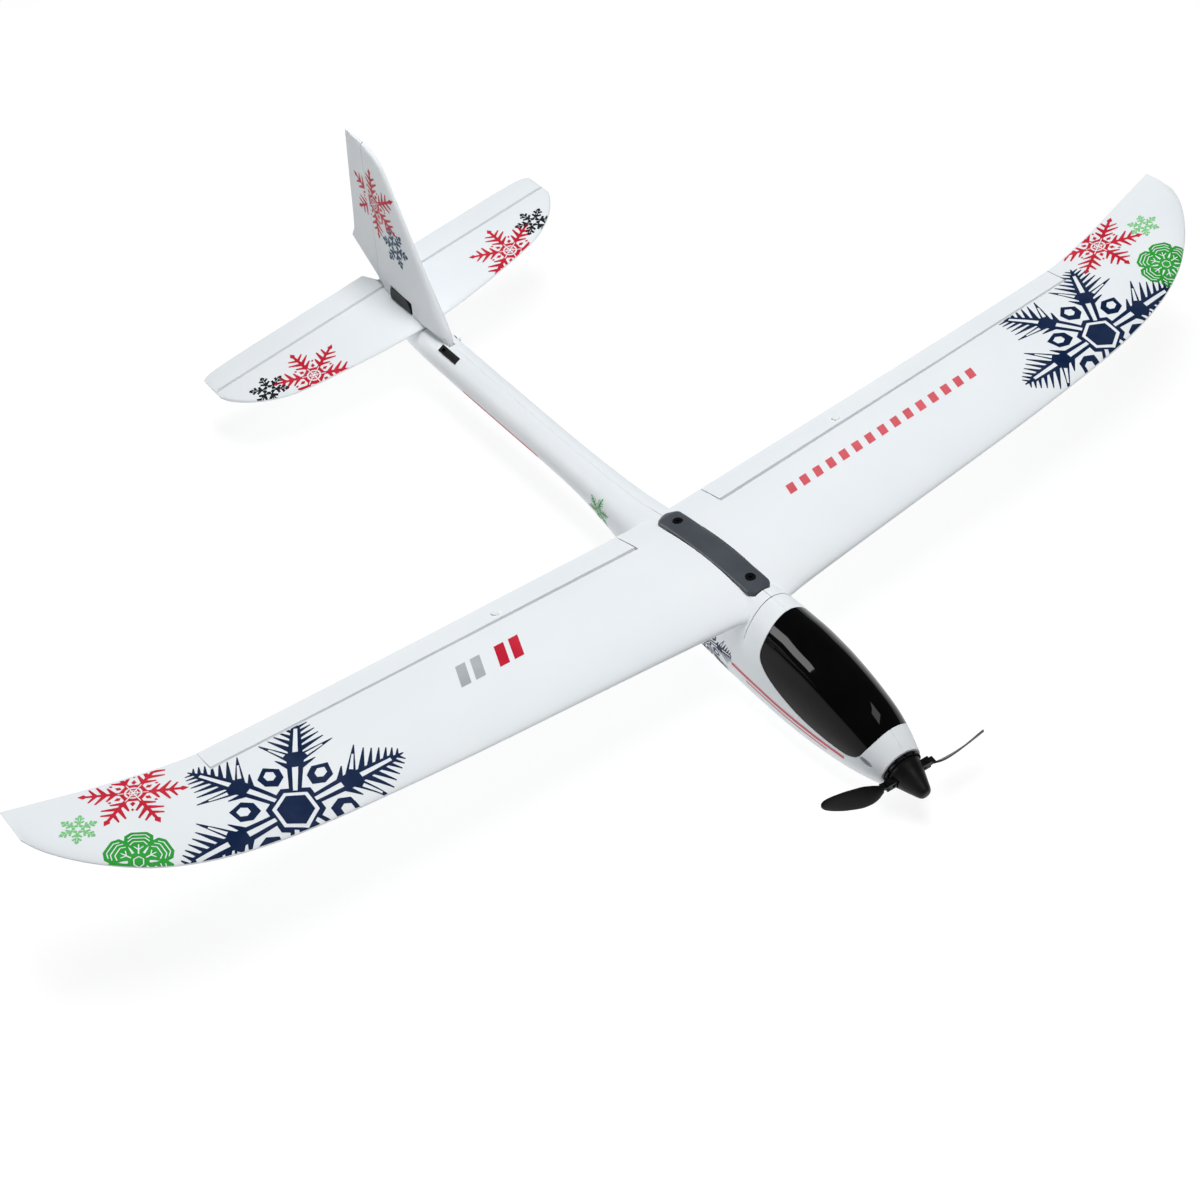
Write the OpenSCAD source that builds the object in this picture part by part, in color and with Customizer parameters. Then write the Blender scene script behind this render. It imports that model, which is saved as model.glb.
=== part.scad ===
// Radio controlled glider: foam pod-and-boom airframe, folding nose propeller,
// ailerons, elevator and rudder on foam hinges, each driven by its own servo and rod.
// Nose points to +X, left wing to +Y, up is +Z. Z = 0 is the flat of the belly.

/* [Wing] */
// Tip to tip span
wing_span = 780; // [700:5:860]
// Rise of each wing per side, degrees
dihedral = 4.3; // [2:0.1:6]
// Root thickness as a share of the chord
root_thick = 0.145; // [0.12:0.005:0.17]
// Tip thickness as a share of the chord
tip_thick = 0.085; // [0.07:0.005:0.11]
// Extra upward sweep of the last part of the wing
tip_rise = 10; // [0:1:20]
// Inboard end of each aileron
ail_in = 29.5; // [28:0.5:40]
// Outboard end of each aileron
ail_out = 294; // [270:1:300]

/* [Fuselage] */
// Foam wall of the pod
pod_wall = 4; // [3:0.5:5]
// Foam wall of the boom
boom_wall = 2.4; // [2:0.2:3]
// Height of the wing saddle above the belly
saddle_z = 48; // [46:0.5:50]
// Wall of the moulded canopy
canopy_wall = 1.2; // [0.8:0.1:2]

/* [Tail] */
// Half span of the stabiliser
stab_half = 126; // [110:1:140]
// Roll of the stabiliser on the boom, left tip up (0 for a level one)
tail_roll = 7.5; // [0:0.5:8]
// Height of the fin top above the belly
fin_top = 160.5; // [140:0.5:170]

/* [Propeller] */
// Hinge to tip length of one blade
blade_len = 38; // [30:1:42]
// Rest fold of the right blade, degrees
right_fold = 14; // [0:1:20]
// Down thrust, degrees
down_thrust = 7; // [0:0.5:10]
// Right thrust, degrees
right_thrust = 3.5; // [0:0.5:5]

/* [Hinges] */
// Gap on each side of a foam hinge line
hinge_gap = 0.25; // [0.2:0.05:0.4]
// Open angle of the hinge groove
groove_deg = 23; // [22:1:28]
// Radius of the wire of every push rod
rod_r = 0.6; // [0.5:0.1:0.8]

/* [Hidden] */
half_span = wing_span / 2;
dih = tan(dihedral);
chord_z = 56;
hinge_x = -60;
ail_y = 118;
arm_len = 9;
stab_z = 54;
stab_hinge_x = -354;
stab_hinge_z = 51.8;
rud_hinge_x = -357;
ys = half_span / 390;
nose = [121.5, 0, 22];
eps = 0.01;

// ---------- lofting ----------
function ring_sides(n, m) = [
  for (i = [0:n - 2]) for (j = [0:m - 1]) for (k = [0:1])
    k == 0 ? [i * m + j, i * m + (j + 1) % m, (i + 1) * m + (j + 1) % m]
           : [i * m + j, (i + 1) * m + (j + 1) % m, (i + 1) * m + j]
];
function ring_caps(n, m) = [
  [for (j = [m - 1:-1:0]) j],
  [for (j = [0:m - 1]) (n - 1) * m + j]
];

module loft(rings) {
  n = len(rings);
  m = len(rings[0]);
  polyhedron(
    points = [for (r = rings) for (p = r) p],
    faces = concat(ring_sides(n, m), ring_caps(n, m)),
    convexity = 8);
}

// ---------- wing shape ----------
wing_le = [[0, 17], [22, 14.5], [60, 12.5], [120, 10], [180, 7.5], [230, 4.5], [270, 1], [300, -4],
  [320, -9], [335, -14.5], [348, -21], [358, -28], [367, -35.5], [375, -43.5], [382, -52],
  [387, -60], [390, -67]];
wing_te = [[0, -79.5], [30, -79], [294, -75.5], [320, -78.5], [350, -83], [375, -87], [390, -89]];
wing_y = [-5, 22, 60, 110, 160, 210, 250, 280, 300, 315, 327, 338, 348, 358, 366, 373, 379, 384, 387.5, 390];

function wing_thick(y) = y < 300 ? root_thick + (tip_thick - root_thick) * y / 300
  : (y > 389 ? tip_thick * 0.45 : tip_thick);
function wing_rise(y) = y > 290 ? tip_rise * pow((y - 290) / 98, 1.7) : 0;
function wing_z(y) = chord_z + dih * y * ys + wing_rise(y);
function naca(t) = 0.2969 * sqrt(t) - 0.126 * t - 0.3516 * t * t + 0.2843 * t * t * t - 0.1015 * t * t * t * t;
function camber(t, m) = 4 * m * t * (1 - t);
function wing_camber(y) = 0.045 - 0.012 * min(y, 300) / 300;

// stations along the chord, dense at the nose
chord_t = [0, 0.006, 0.025, 0.06, 0.11, 0.18, 0.28, 0.4, 0.53, 0.66, 0.79, 0.9, 1];
chord_n = len(chord_t);

function foil(le, te, y, z, th, cam) = let (c = le - te) concat(
  [for (i = [0:chord_n - 1])
    [le - c * chord_t[i], y, z + c * camber(chord_t[i], cam) + max(5 * th * c * naca(chord_t[i]),
      i > 0 ? 0.55 * min(1, chord_t[i] * 40) : 0)]],
  [for (i = [chord_n - 1:-1:1])
    [le - c * chord_t[i], y, z + c * camber(chord_t[i], cam) - max(5 * th * c * naca(chord_t[i]),
      0.55 * min(1, chord_t[i] * 40))]]);

module wing_panel() {
  loft([for (y = wing_y)
    foil(lookup(y, wing_le), lookup(y, wing_te), y * ys, wing_z(y), wing_thick(y), wing_camber(y))]);
}

// Local frame on the aileron hinge line at span station y
module at_hinge(y) {
  translate([hinge_x, y, chord_z + dih * y])
    rotate([dihedral, 0, 0])
      children();
}

// Wedge that opens the hinge groove; kept with the gap in front of the axis
module groove_side(len_y) {
  rotate([90, 0, 0])
    translate([0, 0, -len_y])
      linear_extrude(len_y)
        polygon([[hinge_gap, -8], [hinge_gap, 14], [-14 * tan(groove_deg) - hinge_gap, 14],
          [-hinge_gap, 0], [-hinge_gap, -8]]);
}

module aileron_bay() {
  at_hinge(ail_in)
    translate([-40, 0, -8])
      cube([40 + hinge_gap, (ail_out - ail_in) / cos(dihedral), 22]);
}

module aileron_blank() {
  difference() {
    intersection() {
      wing_panel();
      at_hinge(ail_in)
        translate([-40, 0.6, -8])
          cube([40 - hinge_gap, (ail_out - ail_in) / cos(dihedral) - 1.2, 22]);
    }
    at_hinge(ail_in)
      groove_side((ail_out - ail_in) / cos(dihedral));
  }
}

// ---------- fuselage shape ----------
// x, top, widest line, bottom, half width, upper roundness, wall share
stations = [
  [122.5, 34, 22.5, 11, 11.6, 2],
  [117, 39, 24, 9, 13.4, 2],
  [111, 43.5, 26, 7, 15.2, 2],
  [102, 50, 27.5, 4.5, 17.2, 2],
  [90, 56, 28.5, 2, 19, 1.95],
  [76, 61.5, 29, 0.2, 20.6, 1.9],
  [60, 65.5, 29, -1, 21.8, 1.9],
  [42, 67.5, 29.5, -1.5, 22.4, 1.9],
  [24, 67.5, 30, -1.5, 22.4, 1.9],
  [5, 66.8, 31, -1.5, 22, 1.9],
  [-20, 66.4, 33, -1.5, 20.8, 1.9],
  [-45, 64.2, 35.5, -1.2, 18.8, 1.9],
  [-66, 60.6, 38, 2.5, 16.8, 1.95],
  [-85, 57, 40, 9, 15, 2],
  [-103, 54, 41, 16, 13.4, 2],
  [-122, 53, 41, 22.5, 12.2, 2],
  [-145, 52.2, 41, 27.5, 11.4, 2],
  [-175, 51.8, 40.6, 29.4, 11.1, 2],
  [-215, 51.8, 40.6, 29.2, 11.1, 2],
  [-260, 52, 40.8, 29.4, 11.1, 2],
  [-300, 52.2, 41, 30.4, 10.9, 2],
  [-330, 52.4, 42.5, 33, 9.8, 2],
  [-348, 52.4, 44.5, 36.5, 7.8, 2],
  [-355.5, 52, 46, 41, 5, 2]
];

function squash_pow(v, e) = sign(v) * pow(abs(v), e);

function pod_ring(s, w, m) = [
  for (i = [0:m - 1])
    let (a = 360 * (i + 0.5) / m)
    let (up = sin(a) > 0)
    let (e = up ? 2 / s[5] : 2 / 2.35)
    [s[0], max(1, s[4] - w) * squash_pow(cos(a), up ? e : 2 / 2.15),
      up ? s[2] + max(1, s[1] - s[2] - w) * squash_pow(sin(a), e)
         : s[2] + max(1, s[2] - s[3] - w) * squash_pow(sin(a), e)]
];

module pod_outer(w) {
  loft([for (i = [0:len(stations) - 1]) pod_ring(stations[i], w, 36)]);
}

module pod_inner() {
  loft([for (i = [2:len(stations) - 3])
    pod_ring(stations[i], stations[i][0] > -100 ? pod_wall : boom_wall, 24)]);
}

module belly_trim() {
  translate([-400, -60, 0])
    cube([600, 120, 200]);
}

// Side outline of the canopy, swept across the pod
module canopy_cut(grow) {
  rotate([90, 0, 0])
    translate([0, 0, -40])
      linear_extrude(80)
        polygon([[30.5 - grow, 90], [30.5 - grow, 50], [31.2 - grow, 46.5 - grow], [33.5 - grow, 43 - grow],
          [40, 38.6 - grow], [52, 33.6 - grow], [66, 29.4 - grow], [82, 26.6 - grow], [94, 25.6 - grow],
          [100, 26.4 - grow], [104.5 + grow, 29.5 - grow], [107.5 + grow, 35], [110 + grow, 42],
          [111 + grow, 50], [111 + grow, 90]]);
}

module saddle_box(grow) {
  translate([-86 - grow, -60, saddle_z])
    cube([103.5 + 2 * grow, 120, 60]);
}

module thrust_frame() {
  translate(nose)
    rotate([0, down_thrust, -right_thrust])
      children();
}

module along_x(r, x0, x1) {
  translate([x0, 0, 0])
    rotate([0, 90, 0])
      cylinder(r = r, h = x1 - x0, $fn = 48);
}

module along_y(r, y0, y1) {
  translate([0, y1, 0])
    rotate([90, 0, 0])
      cylinder(r = r, h = y1 - y0, $fn = 32);
}

module fuselage_solid() {
  difference() {
    intersection() {
      pod_outer(0);
      belly_trim();
    }
    difference() {
      pod_inner();
      translate([-90, -60, saddle_z - 5])
        cube([121.5, 120, 60]);
      translate([105, -60, -10])
        cube([60, 120, 100]);
    }
    saddle_box(0);
    canopy_cut(0.3);
    thrust_frame()
      along_x(8.6, -27, 10);
    thrust_frame()
      translate([-2, -30, -30])
        cube([40, 60, 60]);
    anchor_plate(0);
    anchor_bosses(2.6);
    // flat for the stabiliser
    on_boom_end()
      translate([-370, -30, 51.5])
        cube([64, 60, 20]);
    // seat of the fin root
    translate([-306.5, -2.2, 49.5])
      cube([24.5, 4.4, 20]);
    // elevator servo pocket and the way out for its arm
    on_boom_end()
      translate([-311, -8.7, 36.3])
        cube([20.6, 17.4, 9.4]);
    on_boom_end()
      translate([-296, 0, 41])
        along_y(3, 5, 20);
    slot_seat();
    // pod magnet seat
    translate([24, 0, 52])
      along_x(2.5, 2, 8);
  }
}

module fuselage_left() {
  color("white")
  intersection() {
    fuselage_solid();
    translate([-400, 0, -10])
      cube([600, 60, 200]);
  }
}

module fuselage_right() {
  color("white")
  intersection() {
    fuselage_solid();
    translate([-400, -60, -10])
      cube([600, 60, 200]);
  }
}

// ---------- canopy ----------
module canopy() {
  color("black")
  difference() {
    intersection() {
      pod_outer(0);
      canopy_cut(0);
    }
    intersection() {
      pod_outer(canopy_wall);
      translate([31.7, -60, 0])
        cube([78.1, 120, 100]);
    }
    translate([24, 0, 52])
      along_x(2.5, 6.3, 8);
  }
}

module canopy_latch() {
  color("dimgray")
  difference() {
    intersection() {
      pod_outer(canopy_wall);
      translate([103, -5, 44])
        cube([6, 10, 30]);
    }
    translate([100, -3.5, 40])
      cube([8, 7, 30]);
  }
}

module canopy_magnet() {
  color("silver")
  translate([24, 0, 52])
    along_x(2.5, 6.9, 8.9);
}

module pod_magnet() {
  color("silver")
  translate([24, 0, 52])
    along_x(2.5, 4, 6);
}

// ---------- wing halves ----------
clamp_line = [[-73.4, 59.9], [-62, 62], [-45, 64.2], [-28, 65.6], [-12, 66.2], [0, 66.1], [10.4, 65.4]];
function clamp_z(x) = lookup(x, clamp_line);

module clamp_solid(lift, half_w, x0, x1) {
  n = 15;
  loft([for (i = [n:-1:0])
    let (x = x0 + (x1 - x0) * i / n)
    let (u = abs(2 * i / n - 1))
    let (w = half_w * (u > 0.86 ? sqrt(max(0.2, 1 - pow((u - 0.86) / 0.16, 2))) : 1))
    let (z = clamp_z(x))
    [[x, w, z - 0.6], [x, w, z + 1.5 + lift], [x, w * 0.86, z + 2.2 + lift], [x, w * 0.45, z + 2.9 + lift],
      [x, 0, z + 3.1 + lift], [x, -w * 0.45, z + 2.9 + lift], [x, -w * 0.86, z + 2.2 + lift],
      [x, -w, z + 1.5 + lift], [x, -w, z - 0.6]]]);
}

module clamp_seat() {
  rotate([90, 0, 0])
    translate([0, 0, -7.9])
      linear_extrude(15.8)
        polygon(concat([for (p = clamp_line) [p[0], p[1] - 0.6]], [[10.4, 90], [-73.4, 90]]));
}

module wing_half() {
  difference() {
    union() {
      wing_panel();
      intersection() {
        pod_outer(0);
        saddle_box(0);
        translate([-200, -3, 0])
          cube([400, 60, 200]);
      }
    }
    translate([-200, -60, 0])
      cube([400, 60, 200]);
    aileron_bay();
    clamp_seat();
    for (x = [0, -62])
      translate([x, 0, 40])
        rotate([0, 0, 45])
          cylinder(r = 2.6, h = 40, $fn = 32);
    spar(1.5);
    at_hinge(ail_y)
      servo_pocket();
  }
}

module spar(r) {
  translate([-14, 6, chord_z + dih * 6 + 3])
    rotate([dihedral - 90, 0, 0])
      cylinder(r = r, h = 260, $fn = 24);
}

module wing_left() {
  color("white")
    wing_half();
}

module wing_right() {
  color("white")
    mirror([0, 1, 0])
      wing_half();
}

module wing_spar_left() {
  color("dimgray")
    spar(1.5);
}

module wing_spar_right() {
  color("dimgray")
    mirror([0, 1, 0])
      spar(1.5);
}

module wing_clamp() {
  color("darkslategray")
  difference() {
    clamp_solid(0, 7.5, -73, 10);
    for (x = [0, -62])
      translate([x, 0, 40])
        cylinder(r = 1.7, h = 40, $fn = 32);
    for (x = [0, -62])
      translate([x, 0, clamp_z(x) + 1.1])
        cylinder(r = 3, h = 10, $fn = 32);
  }
}

module one_screw(x) {
  difference() {
    union() {
      translate([x, 0, 41])
        cylinder(r = 1.5, h = clamp_z(x) + 1.1 - 41, $fn = 32);
      translate([x, 0, clamp_z(x) + 1.1])
        cylinder(r = 2.6, h = 1.6, $fn = 32);
    }
    translate([x, 0, clamp_z(x) + 1.9])
      cylinder(r = 1.1, h = 4, $fn = 6);
  }
}

module clamp_screws() {
  color("silver") {
    one_screw(0);
    one_screw(-62);
  }
}

module anchor_plate(grow) {
  translate([-71 - grow, -7.5 - grow, saddle_z - 2.5])
    cube([80 + 2 * grow, 15 + 2 * grow, 2.5]);
}

module anchor_bosses(r) {
  for (x = [0, -62])
    translate([x, 0, 40])
      rotate([0, 0, 45])
        cylinder(r = r, h = 9.5, $fn = 32);
}

module clamp_anchor() {
  color("dimgray")
  difference() {
    union() {
      anchor_plate(0);
      anchor_bosses(2.6);
    }
    for (x = [0, -62])
      translate([x, 0, 39])
        cylinder(r = 1.5, h = 12, $fn = 32);
  }
}

// ---------- servo, arm, rod and horn, in the frame of the arm axis (axis along Y) ----------
// The body lies behind y = 0; the arm turns in the slice y = 0.4 to 2.
module servo_body(case_len, case_w, boss) {
  translate([-14, -case_w, -4])
    cube([case_len, case_w - boss, 8]);
  translate([-16, -case_w + 2, -4])
    cube([case_len + 4, 1.2, 8]);
  along_y(2.8, -boss - 0.1, -0.1);
  along_y(1.2, -0.2, 2);
}

module servo_arm(drop) {
  difference() {
    union() {
      along_y(2.6, 0.3, 1.9);
      rotate([90, 0, 0])
        translate([0, 0, -1.9])
          linear_extrude(1.6)
            polygon([[-2.2, 0], [2.2, 0], [1.2, drop], [-1.2, drop]]);
      translate([0, 0, drop])
        along_y(1.6, 0.3, 1.9);
    }
    along_y(1.25, 0, 3);
    translate([0, 0, drop])
      along_y(rod_r + 0.06, 0, 3);
  }
}

// Wire along -X from the arm hole to the horn hole, bent in at both ends
module rod_wire(dx, dz) {
  reach = sqrt(dx * dx + dz * dz);
  along_y(rod_r, 0.1, 2.9);
  translate([0, 2.9, 0])
    sphere(r = rod_r * 1.15, $fn = 24);
  translate([0, 2.9, 0])
    rotate([0, -90 + atan2(dz, -dx), 0])
      cylinder(r = rod_r, h = reach, $fn = 24);
  translate([dx, 2.9, dz])
    sphere(r = rod_r * 1.15, $fn = 24);
  translate([dx, 0, dz])
    along_y(rod_r, 0.1, 2.9);
}

// Horn: foot let into the surface, hole straight off the hinge axis
module horn_foot(foot_z) {
  translate([-12, -2.5, foot_z - 1])
    cube([9.5, 7.5, 1]);
}

module horn_plate(drop, foot_z) {
  difference() {
    union() {
      rotate([90, 0, 0])
        translate([0, 0, -1.9])
          linear_extrude(1.6)
            polygon([[-3, foot_z - 0.5], [-11, foot_z - 0.5], [-2, drop - 1.2], [1.2, drop - 1.2],
              [1.6, drop + 1.4]]);
      translate([0, 0, drop])
        along_y(1.7, 0.3, 1.9);
      horn_foot(foot_z);
    }
    translate([0, 0, drop])
      along_y(0.9, 0, 3);
  }
}

// ---------- ailerons ----------
module servo_pocket() {
  translate([34, 0, 1.5]) {
    translate([-16.2, -12.2, -12])
      cube([24.4, 12.2, 16.2]);
    translate([-5.5, -0.1, -12])
      cube([11, 2.4, 15.2]);
  }
}

module aileron_cut() {
  difference() {
    aileron_blank();
    at_hinge(ail_y) {
      horn_foot(0.3);
      horn_peg();
    }
  }
}

module horn_peg() {
  translate([-7, 1.1, 0])
    cylinder(r = 1, h = 4, $fn = 24);
  translate([-7, 1.1, 3.1])
    cylinder(r = 2.3, h = 0.9, $fn = 32);
}

module aileron_horn_half() {
  at_hinge(ail_y) {
    horn_plate(-arm_len, 0.3);
    horn_peg();
  }
}

module aileron_left() {
  color("white")
    aileron_cut();
}

module aileron_right() {
  color("white")
    mirror([0, 1, 0])
      aileron_cut();
}

module aileron_horn_left() {
  color("white")
    aileron_horn_half();
}

module aileron_horn_right() {
  color("white")
    mirror([0, 1, 0])
      aileron_horn_half();
}

module wing_servo() {
  at_hinge(ail_y)
    translate([34, 0, 1.5])
      servo_body(20, 12, 1.6);
}

module wing_arm() {
  at_hinge(ail_y)
    translate([34, 0, 1.5])
      servo_arm(-arm_len);
}

module wing_rod() {
  at_hinge(ail_y)
    translate([34, 0, 1.5 - arm_len])
      rod_wire(-34, -1.5);
}

module aileron_servo_left() {
  color("dimgray")
    wing_servo();
}

module aileron_servo_right() {
  color("dimgray")
    mirror([0, 1, 0])
      wing_servo();
}

module aileron_arm_left() {
  color("white")
    wing_arm();
}

module aileron_arm_right() {
  color("white")
    mirror([0, 1, 0])
      wing_arm();
}

module aileron_rod_left() {
  color("silver")
    wing_rod();
}

module aileron_rod_right() {
  color("silver")
    mirror([0, 1, 0])
      wing_rod();
}

// ---------- stabiliser and elevator ----------
plate_t = [0, 0.012, 0.04, 0.1, 0.2, 0.45, 0.7, 1];
plate_h = [0.1, 0.42, 0.72, 0.93, 1, 1, 0.84, 0.28];

function plate_ring(le, te, th, h) = let (n = len(plate_t)) concat(
  [for (i = [0:n - 1]) [le - (le - te) * plate_t[i], th / 2 * h[i]]],
  [for (i = [n - 1:-1:0]) [le - (le - te) * plate_t[i], -th / 2 * h[i]]]);

stab_le = [[0, -306], [20, -307], [60, -312], [90, -318], [105, -325], [115, -333], [121, -340],
  [124, -344.5], [126, -349]];
stab_te = [[0, -375], [100, -374.5], [118, -373.5], [124, -372], [126, -370.5]];
stab_y = [0, 20, 45, 70, 90, 105, 115, 121, 124, 126];

function stab_thick(y) = y > 125.5 ? 2 : 5 - 1.4 * y / 126;

module tail_half() {
  loft([for (y = stab_y)
    [for (p = plate_ring(lookup(y, stab_le), lookup(y, stab_te), stab_thick(y), plate_h))
      [p[0], y * stab_half / 126, stab_z + p[1]]]]);
}

module tail_plane() {
  union() {
    tail_half();
    mirror([0, 1, 0])
      tail_half();
  }
}

module at_elevator() {
  translate([stab_hinge_x, 0, stab_hinge_z])
    children();
}

// Rolls the tailplane, its servo and linkage about the boom's axis
module on_boom_end() {
  translate([0, 0, 41])
    rotate([tail_roll, 0, 0])
      translate([0, 0, -41])
        children();
}

module stabiliser() {
  color("white")
  difference() {
    on_boom_end()
      difference() {
        tail_plane();
        at_elevator()
          translate([-60 + hinge_gap, -200, -10])
            cube([60, 400, 20]);
      }
    // seat of the fin root
    translate([-400, -2.2, 53.5])
      cube([200, 4.4, 10]);
    // room for the foot of the rudder servo
    translate([-341.3, -8, 56.4])
      cube([24.6, 12.2, 10]);
  }
}

module elevator() {
  color("white")
  difference() {
    on_boom_end()
      difference() {
        intersection() {
          tail_plane();
          at_elevator()
            translate([-60 - hinge_gap, -200, -10])
              cube([60, 400, 20]);
        }
        at_elevator()
          translate([0, -200, 0])
            groove_side(400);
        at_elevator()
          translate([0, 11.2, 0])
            horn_foot(0.6);
      }
    // notch under the rudder
    translate([0, 0, 40])
      linear_extrude(30)
        polygon([[-380, -7], [-380, 7], [-363, 0.8], [-363, -0.8]]);
  }
}

module elevator_horn() {
  color("white")
  on_boom_end()
    at_elevator()
      translate([0, 11.2, 0])
        horn_plate(-arm_len, 0.6);
}

module elevator_servo() {
  color("dimgray")
  on_boom_end()
    translate([-296, 11.2, 41])
      servo_body(20, 18, 3.6);
}

module elevator_arm() {
  color("white")
  on_boom_end()
    translate([-296, 11.2, 41])
      servo_arm(-arm_len);
}

module elevator_rod() {
  color("silver")
  on_boom_end()
    translate([-296, 11.2, 41 - arm_len])
      rod_wire(stab_hinge_x + 296, stab_hinge_z - 41);
}

// ---------- fin and rudder ----------
fin_le = [[49.5, -282], [56, -283.5], [69, -290.3], [100, -308], [130, -325], [146, -334.4], [153, -339.5],
  [157, -345], [159.3, -351], [160.5, -358]];
fin_te = [[49.5, -386], [77, -387.5], [84, -384], [92, -382.8], [125, -379.5], [153, -376.6], [160.5, -375.8]];
fin_z = [49.5, 56, 69, 77, 84, 92, 108, 125, 140, 148, 153, 157, 159.3, 160.5];
fin_h = [0.14, 0.4, 0.66, 0.86, 1, 0.97, 0.46, 0.16];

function fin_thick(z) = z > 160 ? 1.8 : lookup(z, [[49, 10.4], [67, 10.4], [80, 8], [100, 6], [160.5, 3.4]]);

module fin_blank() {
  loft([for (z = fin_z)
    let (zz = 49.5 + (z - 49.5) * (fin_top - 49.5) / 111)
    [for (p = plate_ring(lookup(z, fin_le), lookup(z, fin_te), fin_thick(z), fin_h)) [p[0], -p[1], zz]]]);
}

module at_rudder() {
  translate([rud_hinge_x, -1.2, 0])
    children();
}

// Frame of the rudder arm: axis up, arm to the left
module at_rudder_servo() {
  translate([-325, 0, 68])
    rotate([90, 0, 0])
      children();
}

// Space beside the fin's tongue: flat over the boom, along the rolled top over the stabiliser
module fin_foot(y) {
  translate([-306.4, y, 40])
    cube([106.4, 20, 16.5]);
  difference() {
    translate([-400, y, 40])
      cube([93.7, 20, 20]);
    on_boom_end()
      translate([-401, -40, stab_z + 2.5])
        cube([96, 80, 40]);
  }
}

module fin() {
  color("white")
  difference() {
    fin_blank();
    at_rudder()
      translate([-60 + hinge_gap, -20, 40])
        cube([60, 40, 140]);
    // the root stands on the stabiliser, a tongue goes down between
    fin_foot(2.2);
    fin_foot(-22.2);
    translate([-400, -10, 40])
      cube([93.6, 20, 13.5]);
    // room for the elevator behind its hinge
    translate([-400, -10, 40])
      cube([46.5, 20, 19]);
    // servo pocket, open to the right, and the arm slot, open to the left
    translate([-341.3, -8, 56.6])
      cube([24.6, 12.2, 9.8]);
    translate([-329, -4.2, 66.2])
      cube([8, 20, 4.4]);
  }
}

module rudder() {
  color("white")
  difference() {
    intersection() {
      fin_blank();
      at_rudder()
        translate([-60 - hinge_gap, -20, 59.5])
          cube([60, 40, 140]);
    }
    translate([0, 30, 0])
      rotate([90, 0, 0])
        linear_extrude(60)
          polygon([[-350, 50], [-350, 57], [-357, 60.6], [-389, 77.6], [-395, 77.6], [-395, 50]]);
    at_rudder() {
      rotate([90, 0, 0])
        translate([0, 30, 0])
          groove_side(0.01);
      rotate([-90, 0, 0])
        translate([0, -200, 0])
          groove_side(160);
      mirror([0, 1, 0])
        rotate([-90, 0, 0])
          translate([0, -200, 0])
            groove_side(160);
    }
    at_rudder()
      translate([0, 0, 68])
        rotate([90, 0, 0]) {
          horn_foot(-1);
          translate([-11.2, 0.3, -6])
            cube([12, 1.6, 5.01]);
        }
  }
}

module rudder_horn() {
  color("white")
  at_rudder()
    translate([0, 0, 68])
      rotate([90, 0, 0])
        horn_plate(-arm_len, -1);
}

module rudder_servo() {
  color("dimgray")
  at_rudder_servo()
    servo_body(20, 11.3, 1.6);
}

module rudder_arm() {
  color("white")
  at_rudder_servo()
    servo_arm(-arm_len);
}

module rudder_rod() {
  color("silver")
  at_rudder_servo()
    translate([0, 0, -arm_len])
      rod_wire(rud_hinge_x + 325, 1.2);
}

// Flush cover over the rudder servo, on the right of the fin
module servo_cover() {
  color("black")
  translate([0, -4.2, 0])
    rotate([90, 0, 0])
      linear_extrude(1.2)
        polygon([[-341, 60], [-340, 65], [-337.5, 66.2], [-324, 66.2], [-321, 64.5], [-318.2, 58.5],
          [-318.4, 57], [-339, 57], [-340.8, 57.8]]);
}

// Slotted insert let into the boom ahead of the fin
module at_slot() {
  translate([-278, 0, 41])
    rotate([30, 0, 0])
      children();
}

module slot_seat() {
  at_slot()
    translate([-9, -2.4, 9])
      cube([18, 4.8, 6]);
}

module boom_slot_trim() {
  color("black")
  at_slot()
    difference() {
      translate([-9, -2.4, 9])
        cube([18, 4.8, 2.3]);
      translate([-7, -1.1, 9.7])
        cube([14, 2.2, 4]);
    }
}

// ---------- motor and propeller ----------
module motor_mount() {
  color("black")
  thrust_frame()
    difference() {
      along_x(11.4, -2, 0);
      along_x(3.1, -3, 1);
      for (a = [0:30:330])
        rotate([a, 0, 0])
          translate([-1.2, -0.8, 10.4])
            cube([2, 1.6, 3]);
    }
}

module motor() {
  color("silver")
  thrust_frame()
    difference() {
      union() {
        along_x(8.5, -26, -2);
        along_x(3.1, -2.1, 0);
        along_x(4, -27.5, -25.9);
      }
      along_x(1.05, -30, 2);
    }
}

module prop_shaft() {
  color("silver")
  thrust_frame()
    along_x(1, -25, 10);
}

hub_x = 3.4;
pin_y = 12;

module prop_hub() {
  color("black")
  thrust_frame()
    difference() {
      union() {
        along_x(9.9, 0.4, 1.4);
        along_x(4.6, 1.3, 9);
        translate([1.3, -pin_y - 2.2, -2.6])
          cube([4.2, 2 * pin_y + 4.4, 5.2]);
      }
      along_x(1, 0, 12);
      for (s = [-1, 1])
        translate([-1, s > 0 ? pin_y - 2.8 : -pin_y - 7.2, -1.2])
          cube([12, 10, 2.4]);
      for (s = [-1, 1])
        translate([hub_x, s * pin_y, -5])
          cylinder(r = 0.8, h = 10, $fn = 24);
    }
}

module blade_pins() {
  color("silver")
  thrust_frame()
    for (s = [-1, 1])
      translate([hub_x, s * pin_y, -3.1]) {
        cylinder(r = 0.8, h = 6.2, $fn = 24);
        cylinder(r = 1.5, h = 0.5, $fn = 24);
        translate([0, 0, 5.7])
          cylinder(r = 1.5, h = 0.5, $fn = 24);
      }
}

module spinner() {
  color("black")
  thrust_frame()
    difference() {
      rotate([0, 90, 0])
        rotate_extrude($fn = 96)
          polygon([[0, 19], [2.6, 18.8], [4, 17.8], [6.4, 11.5], [8.4, 6.2], [9.7, 2.8], [10, 1.5],
            [8.8, 1.5], [8.5, 2.8], [7.2, 6.2], [5.2, 11.5], [4.6, 13], [0, 13]]);
      translate([0, -20, -3])
        cube([6.2, 40, 6]);
    }
}

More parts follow.
